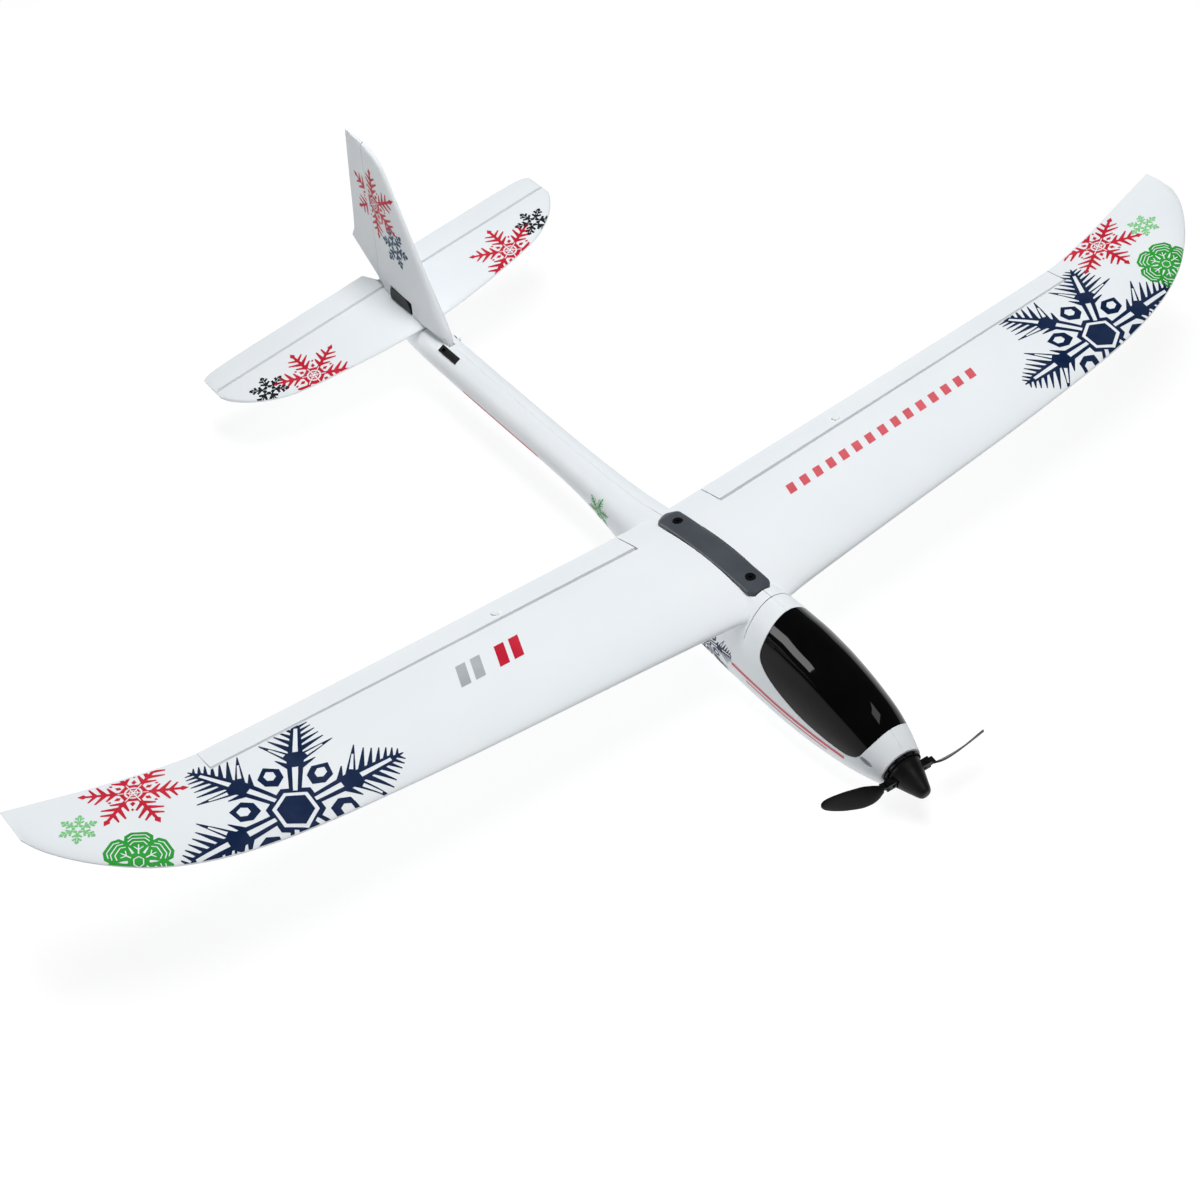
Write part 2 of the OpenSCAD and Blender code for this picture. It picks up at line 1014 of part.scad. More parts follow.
// span from the pin, chord, pitch, x shift
blade_line = [[4, 4.4, 30, 1.6], [7, 7.5, 34, 2.4], [11, 10.6, 31, 2.8], [17, 12.6, 27, 2.6],
  [24, 12.2, 23, 2], [31, 10.2, 19, 1.2], [36, 6.8, 17, 0.5], [38, 3.2, 16, 0.2]];

function blade_ring(b) = let (c = b[1]) let (n = 12) [
  for (i = [n - 1:-1:0])
    let (a = 360 * i / n)
    let (u = c / 2 * cos(a))
    let (v = 0.62 * sin(a) + 0.5 * (1 - pow(2 * u / c, 2)))
    [b[3] + u * sin(b[2]) + v * cos(b[2]), b[0] * blade_len / 38, u * cos(b[2]) - v * sin(b[2])]
];

module blade() {
  difference() {
    union() {
      translate([0, 0, -1])
        cylinder(r = 2.1, h = 2, $fn = 32);
      translate([-1.6, 0, -1])
        cube([3.6, 5, 2]);
      loft([for (b = blade_line) blade_ring(b)]);
    }
    translate([0, 0, -3])
      cylinder(r = 0.86, h = 6, $fn = 24);
  }
}

module blade_left() {
  color("black")
  thrust_frame()
    translate([hub_x, pin_y, 0])
      blade();
}

module blade_right() {
  color("black")
  thrust_frame()
    rotate([180, 0, 0])
      translate([hub_x, pin_y, 0])
        rotate([0, 0, right_fold])
          blade();
}

// ---------- inside the pod ----------
module control_board() {
  color("darkgreen") {
    translate([-26, -10, 14])
      cube([36, 20, 1.6]);
    translate([-22, -8, 15.59])
      cube([10, 16, 6]);
    translate([-8, -3, 15.59])
      cube([7, 7, 1.4]);
    translate([2, -8, 15.59])
      cube([6, 10, 4.5]);
  }
}

module board_posts() {
  color("dimgray")
  for (x = [-23, 7])
    for (y = [-7, 7])
      translate([x, y, 6.6])
        cylinder(r = 1.6, h = 7.4, $fn = 24);
}

module battery_tray() {
  color("dimgray") {
    translate([32, -8.5, 7.5])
      cube([42, 17, 1.5]);
    translate([35, -2.5, 2.8])
      cube([2, 5, 4.71]);
    translate([66, -2.5, 3.8])
      cube([2, 5, 3.71]);
  }
}

module battery() {
  color("lightsteelblue") {
    translate([31, -9, 9])
      cube([42, 18, 13]);
    translate([73, -6, 12])
      cube([3, 12, 8]);
  }
}

module battery_strap() {
  color("darkslategray")
  difference() {
    translate([46, -9.9, 6.7])
      cube([12, 19.8, 16.1]);
    translate([45, -9.1, 7.4])
      cube([14, 18.2, 14.65]);
  }
}

fuselage_left();
fuselage_right();
canopy();
canopy_latch();
canopy_magnet();
pod_magnet();
wing_left();
wing_right();
wing_spar_left();
wing_spar_right();
wing_clamp();
clamp_screws();
clamp_anchor();
aileron_left();
aileron_right();
aileron_horn_left();
aileron_horn_right();
aileron_servo_left();
aileron_servo_right();
aileron_arm_left();
aileron_arm_right();
aileron_rod_left();
aileron_rod_right();
stabiliser();
elevator();
elevator_horn();
elevator_servo();
elevator_arm();
elevator_rod();
fin();
rudder();
rudder_horn();
rudder_servo();
rudder_arm();
rudder_rod();
servo_cover();
boom_slot_trim();
motor_mount();
motor();
prop_shaft();
prop_hub();
spinner();
blade_left();
blade_right();
blade_pins();
control_board();
board_posts();
battery();
battery_tray();
battery_strap();
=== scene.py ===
"""Foam rc glider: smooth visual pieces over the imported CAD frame.

Lengths are millimetres until a piece is finished."""
import math

import bmesh
import bpy
import numpy as np
from mathutils import Matrix, Vector
from mathutils.geometry import delaunay_2d_cdt


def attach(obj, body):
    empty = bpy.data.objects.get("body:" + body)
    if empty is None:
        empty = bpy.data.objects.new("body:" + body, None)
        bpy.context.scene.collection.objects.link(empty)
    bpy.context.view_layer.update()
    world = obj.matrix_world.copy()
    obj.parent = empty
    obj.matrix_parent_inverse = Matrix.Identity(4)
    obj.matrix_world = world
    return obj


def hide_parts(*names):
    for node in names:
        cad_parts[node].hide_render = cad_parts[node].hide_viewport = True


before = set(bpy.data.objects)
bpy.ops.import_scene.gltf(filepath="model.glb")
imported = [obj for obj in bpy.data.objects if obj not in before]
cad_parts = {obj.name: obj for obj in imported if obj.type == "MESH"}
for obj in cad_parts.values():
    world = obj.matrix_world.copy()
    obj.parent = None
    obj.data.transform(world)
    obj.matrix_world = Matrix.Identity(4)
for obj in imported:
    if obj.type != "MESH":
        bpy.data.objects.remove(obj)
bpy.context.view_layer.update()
MM = 0.001
scene = bpy.context.scene
AIR = "airframe"


# ---------------------------------------------------------------- curves through tables
class Curve:
    """Monotone cubic through (key, value) rows, flat beyond the ends."""

    def __init__(self, rows):
        rows = sorted(rows)
        self.x = [r[0] for r in rows]
        self.y = [r[1] for r in rows]
        n = len(rows)
        h = [self.x[i + 1] - self.x[i] for i in range(n - 1)]
        d = [(self.y[i + 1] - self.y[i]) / h[i] for i in range(n - 1)]
        m = [0.0] * n
        m[0], m[-1] = d[0], d[-1]
        for i in range(1, n - 1):
            if d[i - 1] * d[i] > 0:
                a, b = 2 * h[i] + h[i - 1], h[i] + 2 * h[i - 1]
                m[i] = (a + b) / (a / d[i - 1] + b / d[i])
        self.h, self.m = h, m

    def __call__(self, v):
        x = self.x
        if v <= x[0]:
            return self.y[0]
        if v >= x[-1]:
            return self.y[-1]
        i = int(np.searchsorted(x, v, side="right")) - 1
        h = self.h[i]
        t = (v - x[i]) / h
        t2, t3 = t * t, t * t * t
        return ((2 * t3 - 3 * t2 + 1) * self.y[i] + (t3 - 2 * t2 + t) * h * self.m[i]
                + (3 * t2 - 2 * t3) * self.y[i + 1] + (t3 - t2) * h * self.m[i + 1])


def linspace(a, b, n):
    return [a + (b - a) * i / (n - 1) for i in range(n)]


def smoothstep(a, b, v):
    t = min(1.0, max(0.0, (v - a) / (b - a)))
    return t * t * (3 - 2 * t)


# ---------------------------------------------------------------- solids
def new_object(name, verts, faces):
    mesh = bpy.data.meshes.new(name)
    mesh.from_pydata([tuple(v) for v in verts], [], faces)
    obj = bpy.data.objects.new(name, mesh)
    scene.collection.objects.link(obj)
    bm = bmesh.new()
    bm.from_mesh(mesh)
    bmesh.ops.recalc_face_normals(bm, faces=bm.faces)
    bm.to_mesh(mesh)
    bm.free()
    return obj


def loft(rings, name="loft"):
    n, m = len(rings), len(rings[0])
    faces = [[i * m + j, i * m + (j + 1) % m, (i + 1) * m + (j + 1) % m, (i + 1) * m + j]
             for i in range(n - 1) for j in range(m)]
    faces.append(list(range(m - 1, -1, -1)))
    faces.append([(n - 1) * m + j for j in range(m)])
    return new_object(name, [p for r in rings for p in r], faces)


def prism(points, y0, y1):
    """A polygon in X and Z, carried along Y."""
    return loft([[(x, y, z) for x, z in points] for y in (y0, y1)])


def box(lo, hi):
    (x0, y0, z0), (x1, y1, z1) = lo, hi
    return prism([(x0, z0), (x1, z0), (x1, z1), (x0, z1)], y0, y1)


def rod(radius, z0, z1, segments=40):
    """A round bar along Z."""
    ring = [(radius * math.cos(2 * math.pi * k / segments), radius * math.sin(2 * math.pi * k / segments))
            for k in range(segments)]
    return loft([[(x, y, z) for x, y in ring] for z in (z0, z1)])


def moved(obj, matrix):
    obj.data.transform(matrix)
    return obj


def shift(x, y, z):
    return Matrix.Translation((x, y, z))


def turn(degrees, axis):
    return Matrix.Rotation(math.radians(degrees), 4, axis)


def drop(obj):
    mesh = obj.data
    bpy.data.objects.remove(obj)
    bpy.data.meshes.remove(mesh)


def bake_modifiers(obj):
    bpy.context.view_layer.update()
    depsgraph = bpy.context.evaluated_depsgraph_get()
    mesh = bpy.data.meshes.new_from_object(obj.evaluated_get(depsgraph))
    old = obj.data
    obj.modifiers.clear()
    obj.data = mesh
    bpy.data.meshes.remove(old)
    return obj


def combine(obj, other, operation):
    before = obj.data.copy()
    for solver in ("MANIFOLD", "EXACT"):
        mod = obj.modifiers.new("combine", "BOOLEAN")
        mod.operation, mod.object, mod.solver = operation, other, solver
        bake_modifiers(obj)
        if len(obj.data.polygons) > 3:
            break
        obj.data = before.copy()
    bpy.data.meshes.remove(before)
    drop(other)
    return obj


def cut(obj, *others):
    for other in others:
        combine(obj, other, "DIFFERENCE")
    return obj


def add(obj, other):
    return combine(obj, other, "UNION")


def common(obj, other):
    return combine(obj, other, "INTERSECT")


def copy_of(obj):
    twin = bpy.data.objects.new(obj.name, obj.data.copy())
    scene.collection.objects.link(twin)
    return twin


def finish_piece(obj, name, body, material, nodes=(), angle=32, round_mm=0.0, smooth=True):
    """Scales a scratch solid to metres, rounds and shades its edges, and makes it a piece on a body."""
    obj.name = name
    obj.data.name = name
    obj.data.transform(Matrix.Scale(MM, 4))
    bm = bmesh.new()
    bm.from_mesh(obj.data)
    bmesh.ops.remove_doubles(bm, verts=bm.verts, dist=1e-6)
    bmesh.ops.dissolve_degenerate(bm, edges=bm.edges, dist=1e-7)
    for face in bm.faces:
        face.smooth = smooth
    for edge in bm.edges:
        wide = len(edge.link_faces) == 2 and edge.calc_face_angle(0) > math.radians(angle)
        edge.smooth = not wide
    bm.to_mesh(obj.data)
    bm.free()
    if round_mm:
        bevel = obj.modifiers.new("rounded", "BEVEL")
        bevel.width = round_mm * MM
        bevel.segments = 2
        bevel.limit_method = "ANGLE"
        bevel.angle_limit = math.radians(angle + 14)
        bevel.use_clamp_overlap = True
        bevel.harden_normals = False
        bake_modifiers(obj)
        for poly in obj.data.polygons:
            poly.use_smooth = True
    if smooth:
        weighted = obj.modifiers.new("weighted", "WEIGHTED_NORMAL")
        weighted.keep_sharp = True
    obj.data.materials.clear()
    obj.data.materials.append(material)
    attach(obj, body)
    if nodes:
        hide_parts(*nodes)
    return obj


# ---------------------------------------------------------------- materials
def material(name, colour, rough, **sockets):
    mat = bpy.data.materials.new(name)
    mat.use_nodes = True
    shader = mat.node_tree.nodes["Principled BSDF"]
    shader.inputs["Base Color"].default_value = (*colour, 1)
    shader.inputs["Roughness"].default_value = rough
    for key, value in sockets.items():
        shader.inputs[key.replace("_", " ")].default_value = value
    mat.diffuse_color = (*colour, 1)
    return mat, mat.node_tree, shader


def node(tree, kind, **values):
    made = tree.nodes.new(kind)
    for key, value in values.items():
        if hasattr(made, key):
            setattr(made, key, value)
        else:
            made.inputs[key.replace("_", " ")].default_value = value
    return made


def object_place(tree):
    return node(tree, "ShaderNodeTexCoord").outputs["Object"]


def noise(tree, at, scale, detail=2.0, rough=0.5):
    made = node(tree, "ShaderNodeTexNoise", Scale=scale, Detail=detail, Roughness=rough)
    tree.links.new(at, made.inputs["Vector"])
    return made.outputs["Fac"]


def ramp(tree, value, lo, hi, out_lo, out_hi):
    made = node(tree, "ShaderNodeMapRange")
    for k, v in zip(("From Min", "From Max", "To Min", "To Max"), (lo, hi, out_lo, out_hi)):
        made.inputs[k].default_value = v
    tree.links.new(value, made.inputs["Value"])
    return made.outputs["Result"]


def mix_colour(tree, factor, a, b):
    made = node(tree, "ShaderNodeMix", data_type="RGBA")
    made.inputs[6].default_value = (*a, 1)
    made.inputs[7].default_value = (*b, 1)
    tree.links.new(factor, made.inputs[0])
    return made.outputs[2]


def bump(tree, shader, height, distance_mm, strength=1.0):
    made = node(tree, "ShaderNodeBump", Strength=strength, Distance=distance_mm * MM)
    tree.links.new(height, made.inputs["Height"])
    chain = shader.inputs["Normal"]
    if chain.is_linked:
        tree.links.new(chain.links[0].from_socket, made.inputs["Normal"])
    tree.links.new(made.outputs["Normal"], chain)
    return made


def foam_material(name, colour, shade, rough=0.5, bead=0.05):
    """Moulded bead foam: a satin skin with faint beads, flow marks and a slow change of tone."""
    mat, tree, shader = material(name, colour, rough)
    shader.inputs["Specular IOR Level"].default_value = 0.25
    at = object_place(tree)
    cells = node(tree, "ShaderNodeTexVoronoi", Scale=420.0, Randomness=1.0)
    cells.feature = "SMOOTH_F1"
    cells.inputs["Smoothness"].default_value = 0.6
    tree.links.new(at, cells.inputs["Vector"])
    slow = noise(tree, at, 22.0, 3.0)
    fine = noise(tree, at, 1500.0, 2.0)
    tree.links.new(mix_colour(tree, ramp(tree, slow, 0.35, 0.7, 0.0, 1.0), colour, shade),
                   shader.inputs["Base Color"])
    tree.links.new(ramp(tree, noise(tree, at, 90.0, 3.0), 0.3, 0.7, rough - 0.06, rough + 0.08),
                   shader.inputs["Roughness"])
    bump(tree, shader, cells.outputs["Distance"], bead, 0.5)
    bump(tree, shader, fine, 0.012, 0.5)
    return mat


def grained(name, colour, rough, grain=900.0, depth=0.03, spread=0.06, lift=0.35, **sockets):
    """Moulded plastic or metal: fine grain, uneven gloss and slight wear of tone."""
    mat, tree, shader = material(name, colour, rough, **sockets)
    at = object_place(tree)
    worn = tuple(min(1.0, c + (0.02 + c * 0.25) * lift) for c in colour)
    tree.links.new(mix_colour(tree, ramp(tree, noise(tree, at, 60.0, 4.0), 0.4, 0.75, 0.0, 1.0), colour, worn),
                   shader.inputs["Base Color"])
    tree.links.new(ramp(tree, noise(tree, at, 180.0, 3.0), 0.3, 0.7, max(0.03, rough - spread), rough + spread),
                   shader.inputs["Roughness"])
    if depth:
        bump(tree, shader, noise(tree, at, grain, 3.0), depth, 0.6)
    return mat


def brushed(name, colour, rough, scale=(40.0, 1500.0, 1500.0)):
    """Drawn or turned metal with fine lines."""
    mat, tree, shader = material(name, colour, rough, Metallic=1.0)
    mapping = node(tree, "ShaderNodeMapping")
    mapping.inputs["Scale"].default_value = scale
    tree.links.new(object_place(tree), mapping.inputs["Vector"])
    lines = noise(tree, mapping.outputs["Vector"], 1.0, 3.0)
    tree.links.new(ramp(tree, lines, 0.3, 0.7, rough - 0.08, rough + 0.1), shader.inputs["Roughness"])
    bump(tree, shader, lines, 0.01, 0.4)
    return mat


def woven(name, colour, other):
    mat, tree, shader = material(name, colour, 0.85)
    at = object_place(tree)
    wave_a = node(tree, "ShaderNodeTexWave", Scale=900.0, bands_direction="X")
    wave_b = node(tree, "ShaderNodeTexWave", Scale=900.0, bands_direction="Y")
    both = node(tree, "ShaderNodeMath", operation="MULTIPLY")
    for k, wave in enumerate((wave_a, wave_b)):
        tree.links.new(at, wave.inputs["Vector"])
        tree.links.new(wave.outputs["Fac"], both.inputs[k])
    tree.links.new(mix_colour(tree, both.outputs[0], colour, other), shader.inputs["Base Color"])
    bump(tree, shader, both.outputs[0], 0.1, 0.8)
    return mat


FOAM = foam_material("foam_white", (0.80, 0.835, 0.86), (0.775, 0.815, 0.845))
GLOSS = grained("canopy_black", (0.0012, 0.0012, 0.0014), 0.045, depth=0.0, spread=0.015, lift=0.05,
                Specular_IOR_Level=0.16)
CLAMP = grained("clamp_black", (0.058, 0.067, 0.080), 0.42, 1400.0, 0.02, 0.05, Specular_IOR_Level=0.35)
BLACK = grained("prop_black", (0.0025, 0.0025, 0.003), 0.40, 1200.0, 0.02, 0.06, Specular_IOR_Level=0.18)
COVER = grained("cover_black", (0.020, 0.022, 0.025), 0.5, 1200.0, 0.02, 0.06, Specular_IOR_Level=0.15)
WHITE = grained("white_plastic", (0.78, 0.80, 0.80), 0.3, 1100.0, 0.01, 0.05)
SCREW = grained("screw_dark", (0.03, 0.03, 0.032), 0.28, 900.0, 0.01, 0.08, Metallic=0.9)
STEEL = brushed("steel_wire", (0.62, 0.62, 0.63), 0.24)
CAN = brushed("motor_can", (0.55, 0.56, 0.58), 0.3, (900.0, 60.0, 60.0))
CASE = grained("servo_case", (0.035, 0.045, 0.08), 0.35, 900.0, 0.03)
CARBON = brushed("carbon_rod", (0.02, 0.02, 0.022), 0.4)
INNER = grained("inner_plastic", (0.06, 0.06, 0.065), 0.45, 800.0, 0.03)
WRAP = grained("battery_wrap", (0.35, 0.42, 0.52), 0.22, 150.0, 0.08, 0.08, Coat_Weight=0.5)
STRAP = woven("strap_weave", (0.02, 0.02, 0.022), (0.09, 0.09, 0.10))


def board_material():
    mat, tree, shader = material("board_green", (0.01, 0.11, 0.045), 0.3)
    at = object_place(tree)
    cells = node(tree, "ShaderNodeTexVoronoi", Scale=520.0)
    cells.feature = "F1"
    cells.distance = "CHEBYCHEV"
    tree.links.new(at, cells.inputs["Vector"])
    track = ramp(tree, cells.outputs["Distance"], 0.30, 0.34, 0.0, 1.0)
    tree.links.new(mix_colour(tree, track, (0.012, 0.15, 0.06), (0.006, 0.075, 0.03)), shader.inputs["Base Color"])
    bump(tree, shader, track, 0.03, 0.5)
    return mat


BOARD = board_material()


def ink(name, colour, rough=0.45):
    """Printed film over the foam: the colour varies a little, and the foam's beads show through."""
    mat, tree, shader = material(name, colour, rough)
    shader.inputs["Specular IOR Level"].default_value = 0.18
    at = object_place(tree)
    lighter = tuple(min(1.0, c * 1.18 + 0.012) for c in colour)
    tree.links.new(mix_colour(tree, ramp(tree, noise(tree, at, 55.0, 4.0), 0.35, 0.7, 0.0, 1.0), colour, lighter),
                   shader.inputs["Base Color"])
    tree.links.new(ramp(tree, noise(tree, at, 260.0, 2.0), 0.3, 0.7, rough - 0.05, rough + 0.1),
                   shader.inputs["Roughness"])
    bump(tree, shader, noise(tree, at, 900.0, 2.0), 0.02, 0.5)
    return mat


NAVY = ink("ink_navy", (0.0035, 0.014, 0.052))
RED = ink("ink_red", (0.50, 0.014, 0.035), 0.45)
PALE_RED = ink("ink_pale_red", (0.60, 0.10, 0.125), 0.45)
GREEN = ink("ink_green", (0.022, 0.30, 0.035), 0.45)
LIME = ink("ink_lime", (0.19, 0.52, 0.21), 0.45)
INK_BLACK = ink("ink_black", (0.006, 0.009, 0.012))
SLATE = ink("ink_slate", (0.035, 0.085, 0.15), 0.45)
GREY = ink("ink_grey", (0.36, 0.39, 0.41), 0.4)

# ---------------------------------------------------------------- wing surface
DIHEDRAL = 4.3
RISE = math.tan(math.radians(DIHEDRAL))
CHORD_Z = 56.0
HINGE_X = -60.0
GAP = 0.25
AIL_IN, AIL_OUT, AIL_HORN = 29.5, 294.0, 118.0
wing_le = Curve([(-6, 17), (0, 17), (22, 14.5), (60, 12.5), (120, 10), (180, 7.5), (230, 4.5), (270, 1), (300, -4),
                 (320, -9), (335, -14.5), (348, -21), (358, -28), (367, -35.5), (375, -43.5), (382, -52),
                 (387, -60), (390, -67)])
wing_te = Curve([(-6, -79.5), (0, -79.5), (30, -79), (294, -75.5), (320, -78.5), (350, -83), (375, -87), (390, -89)])
wing_share = Curve([(0, 0.145), (300, 0.085), (386, 0.083), (390, 0.034)])


def wing_z(y):
    return CHORD_Z + RISE * y + (10 * ((y - 290) / 98) ** 1.7 if y > 290 else 0)


def naca(t):
    return 0.2969 * math.sqrt(t) - 0.126 * t - 0.3516 * t * t + 0.2843 * t ** 3 - 0.1015 * t ** 4


def wing_skin(y, t, side):
    """A point of the wing's skin at span y and chord share t; side is 1 on top and -1 below."""
    le, te = wing_le(y), wing_te(y)
    chord = le - te
    camber = (0.045 - 0.012 * min(y, 300) / 300) * 4 * t * (1 - t)
    half = max(5 * wing_share(y) * chord * naca(t), 0.55 * min(1, t * 40))
    return (le - chord * t, y, wing_z(y) + chord * camber + side * half)


def wing_top(x, y):
    le, te = wing_le(abs(y)), wing_te(abs(y))
    t = min(1.0, max(0.0, (le - x) / (le - te)))
    p = wing_skin(abs(y), t, 1)
    return (x, y, p[2])


def wing_solid():
    spans = ([-4, 0, 8, 16, 24] + linspace(34, 274, 25) + linspace(280, 360, 27) + linspace(362, 388, 18)
             + [389, 389.6, 390])
    share = [(1 - math.cos(math.pi * i / 44)) / 2 for i in range(45)]
    return loft([[wing_skin(y, t, 1) for t in share] + [wing_skin(y, t, -1) for t in share[-1:0:-1]]
                 for y in spans])


def at_hinge(y):
    return shift(HINGE_X, y, CHORD_Z + RISE * y) @ turn(DIHEDRAL, "X")


AIL_LEN = (AIL_OUT - AIL_IN) / math.cos(math.radians(DIHEDRAL))


def groove(length):
    lean = 14 * math.tan(math.radians(23))
    return prism([(GAP, -8), (GAP, 14), (-lean - GAP, 14), (-GAP, 0), (-GAP, -8)], 0, length)


# ---------------------------------------------------------------- pod and boom surface
STATIONS = [
    (122.5, 34, 22.5, 11, 11.6, 2), (117, 39, 24, 9, 13.4, 2), (111, 43.5, 26, 7, 15.2, 2),
    (102, 50, 27.5, 4.5, 17.2, 2), (90, 56, 28.5, 2, 19, 1.95), (76, 61.5, 29, 0.2, 20.6, 1.9),
    (60, 65.5, 29, -1, 21.8, 1.9), (42, 67.5, 29.5, -1.5, 22.4, 1.9), (24, 67.5, 30, -1.5, 22.4, 1.9),
    (5, 66.8, 31, -1.5, 22, 1.9), (-20, 66.4, 33, -1.5, 20.8, 1.9), (-45, 64.2, 35.5, -1.2, 18.8, 1.9),
    (-66, 60.6, 38, 2.5, 16.8, 1.95), (-85, 57, 40, 9, 15, 2), (-103, 54, 41, 16, 13.4, 2),
    (-122, 53, 41, 22.5, 12.2, 2), (-145, 52.2, 41, 27.5, 11.4, 2), (-175, 51.8, 40.6, 29.4, 11.1, 2),
    (-215, 51.8, 40.6, 29.2, 11.1, 2), (-260, 52, 40.8, 29.4, 11.1, 2), (-300, 52.2, 41, 30.4, 10.9, 2),
    (-330, 52.4, 42.5, 33, 9.8, 2), (-348, 52.4, 44.5, 36.5, 7.8, 2), (-355.5, 52, 46, 41, 5, 2)]
pod_top, pod_mid, pod_low, pod_half, pod_round = [
    Curve([(s[0], s[k]) for s in STATIONS]) for k in range(1, 6)]


def power(v, e):
    return math.copysign(abs(v) ** e, v)


def pod_ring(x, wall=0.0, seam=0.35, angles=None):
    top, mid, low, half, rnd = pod_top(x), pod_mid(x), pod_low(x), pod_half(x), pod_round(x)
    ring = []
    for a in angles or POD_ANGLES:
        up = a < math.pi
        e = 2 / rnd if up else 2 / 2.35
        y = max(1, half - wall) * power(math.cos(a), e if up else 2 / 2.15)
        z = mid + max(1, (top - mid if up else mid - low) - wall) * power(math.sin(a), e)
        if seam and up:
            z -= seam * math.exp(-(y / 0.55) ** 2)
        ring.append((x, y, max(z, 0.0)))
    return ring


def pod_angles():
    """Angles around the section, closer together near the seams at the top and the bottom."""
    steps = [0.4, 1.0, 1.7, 2.6, 4.0, 6.0]
    angles = []
    for centre in (90, 270):
        angles += [centre + s for s in steps] + [centre - s for s in steps]
    angles += [a for a in np.arange(2, 360, 4.0) if min(abs(a - 90), abs(a - 270)) > 7]
    return sorted(math.radians(a) for a in angles)


POD_ANGLES = pod_angles()
POD_X = sorted(set(linspace(122.5, 20, 42) + linspace(17, -120, 40) + linspace(-124, -330, 30)
                   + linspace(-333, -355.5, 10)), reverse=True)


def pod_side(x, z, side=-1):
    """The pod's side skin at x and height z."""
    top, mid, low, half, rnd = pod_top(x), pod_mid(x), pod_low(x), pod_half(x), pod_round(x)
    if z >= mid:
        s = min(1.0, (z - mid) / (top - mid)) ** (rnd / 2)
        y = half * max(0.0, 1 - s * s) ** (0.5 * 2 / rnd)
    else:
        s = min(1.0, (mid - z) / (mid - low)) ** (2.35 / 2)
        y = half * max(0.0, 1 - s * s) ** (0.5 * 2 / 2.15)
    return (x, side * y, z)


def pod_solid(wall=0.0, seam=0.35, xs=None):
    return loft([pod_ring(x, wall, seam) for x in (xs or POD_X)])


CANOPY_LINE = [(30.5, 50), (31.2, 46.5), (33.5, 43), (40, 38.6), (52, 33.6), (66, 29.4), (82, 26.6),
               (94, 25.6), (100, 26.4), (104.5, 29.5), (107.5, 35), (110, 42), (111, 50)]


def canopy_prism(grow):
    """The canopy's side outline as a smooth curve, carried across the pod."""
    pts = []
    for k, (x, z) in enumerate(CANOPY_LINE):
        dx = -grow if k <= 8 else grow
        dz = -grow if 0 < k <= 9 else 0
        pts.append(Vector((x + dx, z + dz)))
    line = []
    for i in range(len(pts) - 1):
        p0, p1, p2, p3 = pts[max(i - 1, 0)], pts[i], pts[i + 1], pts[min(i + 2, len(pts) - 1)]
        for k in range(6):
            t = k / 6
            line.append(0.5 * (2 * p1 + (p2 - p0) * t + (2 * p0 - 5 * p1 + 4 * p2 - p3) * t * t
                               + (3 * p1 - p0 - 3 * p2 + p3) * t ** 3))
    line.append(pts[-1])
    outline = [(pts[0].x, 90)] + [(p.x, p.y) for p in line] + [(pts[-1].x, 90)]
    return prism(outline, -40, 40)


SADDLE_Z = 48.0
NOSE = shift(121.5, 0, 22) @ turn(-3.5, "Z") @ turn(7, "Y")


def saddle():
    return box((-86, -60, SADDLE_Z), (17.5, 60, 110))


# ---------------------------------------------------------------- fuselage
def fuselage():
    shell = pod_solid()
    inside = pod_solid(4.0, 0, linspace(104.9, -89, 60))
    cut(inside, box((-95, -60, SADDLE_Z - 5), (31.5, 60, 110)))
    vents = []
    for side in (-1, 1):
        slot = loft([[(109.5 + 3.6 * math.cos(a) * k, side * y,
                       28.5 - 0.3 * 3.6 * math.cos(a) * k + 2.0 * math.sin(a) * k)
                      for a in linspace(0, 2 * math.pi * 23 / 24, 24)]
                     for y, k in ((8.5, 0.75), (13.5, 1.0), (20, 1.1))])
        vents.append(slot)
    cut(shell, inside, saddle(), canopy_prism(0.3))
    cut(shell, moved(rod(8.6, -27, 10, 64), NOSE @ turn(90, "Y")))
    cut(shell, moved(box((-2, -30, -30), (38, 30, 30)), NOSE))
    cut(shell, moved(box((-370, -30, 51.5), (-306, 30, 71.5)), ROLL),
        box((-306.5, -2.2, 49.5), (-282, 2.2, 69.5)))
    # room below the elevator when it is down
    cut(shell, moved(prism([(-353.5, 51.6), (-385, 38.6), (-385, 51.6)], -30, 30), ROLL))
    cut(shell, moved(box((-311, -8.7, 36.3), (-290.4, 8.7, 45.7)), ROLL))
    cut(shell, moved(rod(3, -20, -5, 32), ROLL @ shift(-296, 0, 41) @ turn(90, "X")))
    cut(shell, moved(box((-9, -2.4, 9), (9, 2.4, 15)), shift(-278, 0, 41) @ turn(30, "X")))
    cut(shell, *vents)
    right = copy_of(shell)
    common(shell, box((-400, 0.03, -10), (200, 60, 200)))
    common(right, box((-400, -60, -10), (200, -0.03, 200)))
    finish_piece(shell, "fuselage_skin_left", AIR, FOAM, ("fuselage_left",), round_mm=0.3)
    finish_piece(right, "fuselage_skin_right", AIR, FOAM, ("fuselage_right",), round_mm=0.3)


def canopy():
    lid = common(pod_solid(0, 0, linspace(118, 26, 60)), canopy_prism(0))
    inner = common(pod_solid(1.2, 0, linspace(118, 26, 60)), box((31.7, -60, 0), (109.8, 60, 100)))
    cut(lid, inner)
    finish_piece(lid, "canopy_shell", "canopy_lid", GLOSS, ("canopy",), round_mm=0.3, angle=30)


# ---------------------------------------------------------------- wing halves
CLAMP_LINE = Curve([(-73.4, 59.9), (-62, 62), (-45, 64.2), (-28, 65.6), (-12, 66.2), (0, 66.1), (10.4, 65.4)])


